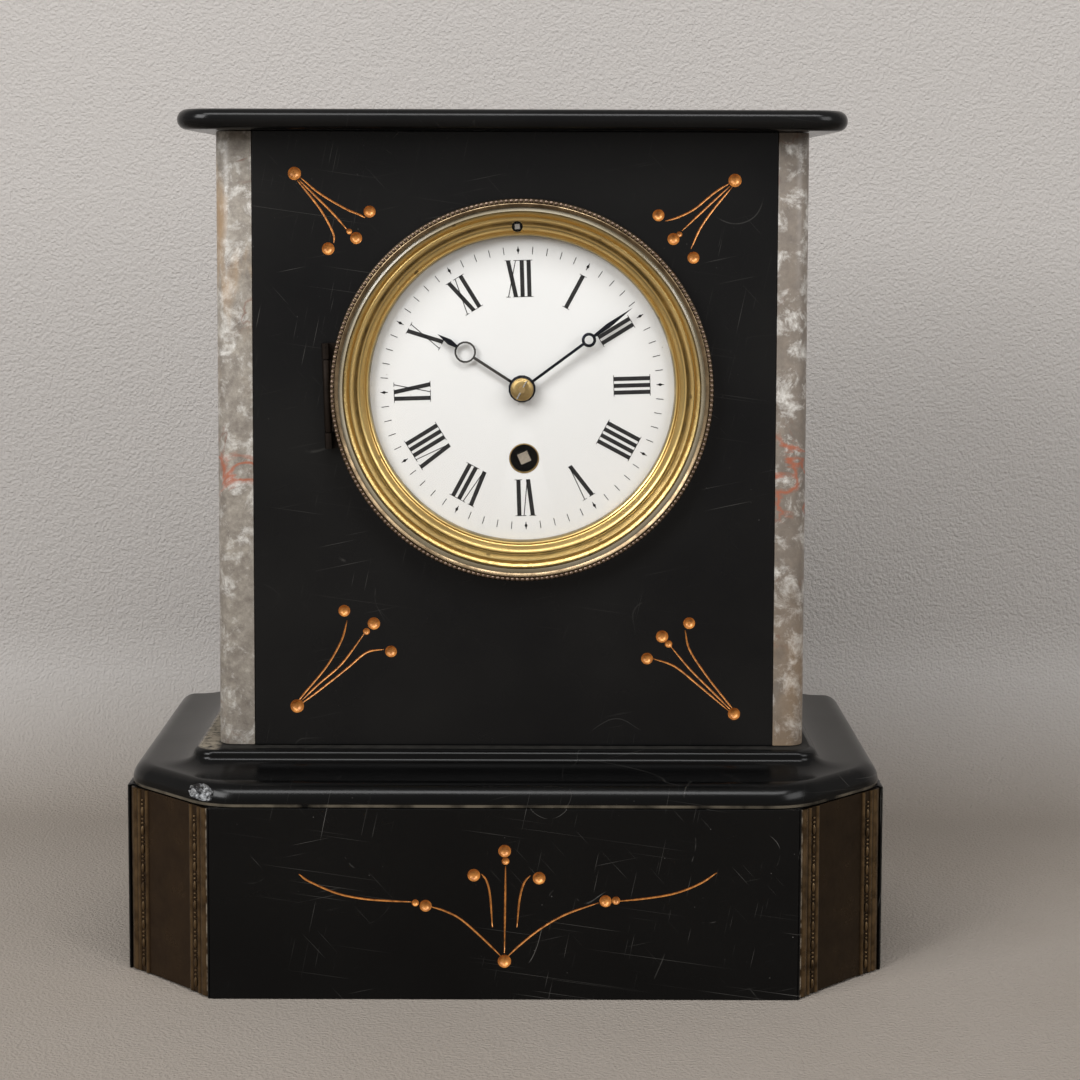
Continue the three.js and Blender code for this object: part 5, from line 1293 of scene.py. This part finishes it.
collet_outline = [(0, -40.3), (1.6, -40.28), (2.5, -40.2), (2.9, -40.08), (3.0, -39.98), (3.12, -40.0),
                  (3.35, -39.9), (3.6, -39.6), (3.7, -39.3), (3.66, -39.0), (0, -39.0)]
collet = turned("collet_domed", collet_outline, steps=64, closed=False)
ready(in_works(collet), collet_brass, "centre", "gilt_brass", "hand_collet")

# %% [markdown]
# ## The back
# Behind, a brass ring frames a round door that swings on a small hinge. Both are turned like the
# front pieces, so that their edges are truly round from behind.

# %% Back ring and door
back_hinge_x, back_hinge_y, back_hinge_radius = 54.3, 67.35, 1.05
back_ring_outline = [(51.6, 55.9), (51.6, 65.9), (51.9, 66.0), (56.9, 66.0), (57.2, 65.7), (57.2, 64.9),
                     (57.0, 64.8), (52.8, 64.8), (52.8, 55.9)]
door_outline = [(0, 66.3), (52.3, 66.3), (52.6, 66.5), (52.6, 67.0), (52.4, 67.3), (52.0, 67.4),
                (50.0, 67.4), (49.6, 67.3), (48.9, 67.1), (48.2, 67.3), (47.8, 67.4), (0, 67.4)]
ear_height, ear_length = 11, 5.8
tab_size, tab_inward = (1.6, 1.3, 5.6), 0.85


def hinge_ear(z):
    """One fixed barrel of the back hinge on its leaf, beside the door's own."""
    ear = open_piece("ear", bpy.ops.mesh.primitive_cylinder_add, vertices=20,
                     radius=back_hinge_radius * MM, depth=ear_length * MM,
                     location=(back_hinge_x * MM, back_hinge_y * MM, z * MM))
    settle_bare(ear)
    tab = open_piece("tab", bpy.ops.mesh.primitive_cube_add, size=1,
                     location=(back_hinge_x * MM, (back_hinge_y - tab_inward) * MM, z * MM),
                     scale=[side * MM for side in tab_size])
    settle_bare(tab)
    return [ear, tab]


ring = join("back_ring_turned", [
    turned("ring", back_ring_outline), *hinge_ear(ear_height), *hinge_ear(-ear_height)])
ready(in_works(ring), movement_brass, "case", "brass", "back_ring")
door = join("rear_door_turned", [
    turned("door", door_outline, closed=False), knuckle(back_hinge_x, back_hinge_y, 1.0, 7.7),
    leaf(51.8, back_hinge_x, back_hinge_y - 0.6, back_hinge_y, 7.6)])
ready(in_works(door), movement_brass, "rear_door", "brass", "back_door")

# %% [markdown]
# ## What stays as the frame made it
# The movement, its mounts and the pendulum have their true shapes already. They only get the
# right metal: brass for plates and wheels, bright steel for springs and screws. What lies behind
# the dial and the two arbors that a key turns get painted shade, the winding one painted light in
# front too, and the bezel's mount has a metal of its own.

# %% Finishes for the frame's own nodes
steel_nodes = {"click", "click_spring", "suspension_spring", "lead_screw", "mainspring", "pallets",
               "taper_pin", "left_strap_screw", "right_strap_screw", "cannon_pinion", "pendulum_rod",
               "rating_nut"}
arbors_in_painted_shade = {"winding_arbor": winding_steel, "rating_arbor": rating_steel}
shaded_nodes = ["front_plate", "barrel_drum", "barrel_cap", "pillar_1", "pillar_2", "pillar_3", "pillar_4"]
own_metals = {**arbors_in_painted_shade, "bezel_mount": dark_brass, **dict.fromkeys(shaded_nodes, shaded_brass)}
slots = {"steel": bright_steel, "brass": movement_brass}
shown = [name for name, node in nodes.items() if not node.hide_render]
for name in shown:
    slot = "steel" if name in steel_nodes or name in arbors_in_painted_shade else "brass"
    nodes[name].data.materials.clear()
    nodes[name].data.materials.append(own_metals.get(name, slots[slot]))
print("frame nodes shown:", len(shown))

# %% [markdown]
# ## Floor, wall and light
# The clock stands on warm grey paper that curves up behind it. The wall is seen only from its
# front, so that views from behind look through it. The floor looks paler far away and behind the
# wall, but only to the camera, mirrors and glass, so that this adds no light to the clock. One
# large soft lamp stands high on the left, a weaker one on the right, and one overhead draws the
# bright lines along the mouldings.

# %% Paper
wall_y, cove_radius, wall_half, wall_top = 0.215, 0.07, 0.9, 0.62
near_paper, high_paper, far_paper = (0.29, 0.255, 0.22), (0.475, 0.45, 0.43), (0.40, 0.38, 0.36)
horizon_start, horizon_end, back_floor_glow = 0.9, 1.6, 0.28


def paper(name, see_through):
    """The floor's paper, or the wall's, which is see-through from behind."""
    finish = Finish(name, near_paper, 0.85, Specular_IOR_Level=0.2)
    # The paper is coloured paler as it rises into the wall, in soft patches: painted light.
    paler_up_the_wall = finish.sum(finish.height(0, 48), finish.product(finish.cloud(9, 0.3, 0.7, detail=3), 0.08))
    finish.feed("Base Color", finish.blend(paler_up_the_wall, near_paper, high_paper))
    finish.relief(finish.cloud(900, 0.3, 0.7, detail=5), depth=0.5, strength=0.8)
    if not see_through:
        ray = finish.add("ShaderNodeLightPath").outputs
        seen = finish.maths("MAXIMUM", ray["Is Camera Ray"], ray["Is Transmission Ray"])
        seen = finish.maths("MAXIMUM", seen, ray["Is Glossy Ray"])
        horizon = finish.between(finish.length(finish.space.outputs["Object"]), horizon_start, horizon_end)
        behind = finish.between(finish.part("Y"), wall_y - cove_radius, wall_y)
        pale = finish.maths("MAXIMUM", horizon, finish.product(behind, back_floor_glow))
        finish.shader.inputs["Emission Color"].default_value = (*far_paper, 1)
        finish.feed("Emission Strength", finish.product(pale, seen))
    else:
        facing = finish.add("ShaderNodeNewGeometry").outputs["Backfacing"]
        clear = finish.add("ShaderNodeBsdfTransparent").outputs[0]
        mixed = finish.add("ShaderNodeMixShader", {0: facing, 1: finish.shader.outputs[0], 2: clear})
        out = next(n for n in finish.tree.nodes if n.type == "OUTPUT_MATERIAL")
        finish.tree.links.new(mixed.outputs[0], out.inputs[0])
    return finish.material


floor_paper, wall_paper = paper("floor_paper", False), paper("wall_paper", True)
print("papers:", floor_paper.name, wall_paper.name)

# %% Floor and wall
floor = open_piece("floor", bpy.ops.mesh.primitive_plane_add, size=8, location=(0, 0, -0.0002))
settle_bare(floor)
floor.data.materials.append(floor_paper)
strip_half, cove_y = 0.01, wall_y - cove_radius
wall = open_piece("wall", bpy.ops.mesh.primitive_plane_add, size=2 * strip_half,
                  location=(0, cove_y - strip_half, 0))
settle_bare(wall)
bpy.ops.object.mode_set(mode="EDIT")
bpy.ops.mesh.select_all(action="SELECT")
bpy.ops.transform.resize(value=(wall_half / strip_half, 1, 1), center_override=(0, 0, 0))
bpy.ops.mesh.select_mode(type="EDGE")
choose("edges", lambda at, along: abs(at.y - cove_y / MM) < 0.1)
bpy.ops.mesh.spin(steps=16, angle=math.pi / 2, center=(0, cove_y, cove_radius), axis=(-1, 0, 0))
bpy.ops.mesh.extrude_edges_move(TRANSFORM_OT_translate={"value": (0, 0, wall_top - cove_radius)})
tidy_mesh()
make_active(wall)
upright = max(wall.data.polygons, key=lambda face: face.area if abs(face.normal.y) > 0.9 else 0)
if upright.normal.y > 0:
    wall.data.flip_normals()
bpy.ops.object.shade_smooth_by_angle(angle=math.radians(40))
wall.data.materials.append(wall_paper)
wall.visible_shadow = False
print("wall height", round(max(v.co.z for v in wall.data.vertices), 3))


# %% Lamps and world
world_light, world_seen = 0.16, 0.70


def lamp(name, place, aim, size, power):
    bpy.ops.object.light_add(type="AREA", location=place)
    light = bpy.context.object
    light.name = light.data.name = name
    light.rotation_euler = (Vector(aim) - Vector(place)).to_track_quat("-Z", "Y").to_euler()
    light.data.shape = "RECTANGLE"
    light.data.size, light.data.size_y = size
    light.data.energy = power


lamp("key", (-1.05, -1.15, 1.0), (0, 0, 0.15), (0.8, 0.8), 22)
lamp("fill", (1.15, -1.05, 0.85), (0, 0, 0.12), (0.8, 0.8), 10)
lamp("overhead", (0.0, -0.75, 1.3), (0, 0, 0.15), (1.3, 0.35), 13)
world = bpy.data.worlds.new("studio")
bpy.context.scene.world = world
world.use_nodes = True
background = world.node_tree.nodes["Background"]
background.inputs["Color"].default_value = (0.62, 0.60, 0.58, 1)
path = world.node_tree.nodes.new("ShaderNodeLightPath")
brightness = world.node_tree.nodes.new("ShaderNodeMapRange")
brightness.inputs["To Min"].default_value = world_light
brightness.inputs["To Max"].default_value = world_seen
seen = path.outputs["Is Camera Ray"]
for ray in ("Is Glossy Ray", "Is Transmission Ray"):
    either = world.node_tree.nodes.new("ShaderNodeMath")
    either.operation = "MAXIMUM"
    world.node_tree.links.new(seen, either.inputs[0])
    world.node_tree.links.new(path.outputs[ray], either.inputs[1])
    seen = either.outputs[0]
world.node_tree.links.new(seen, brightness.inputs["Value"])
world.node_tree.links.new(brightness.outputs[0], background.inputs["Strength"])
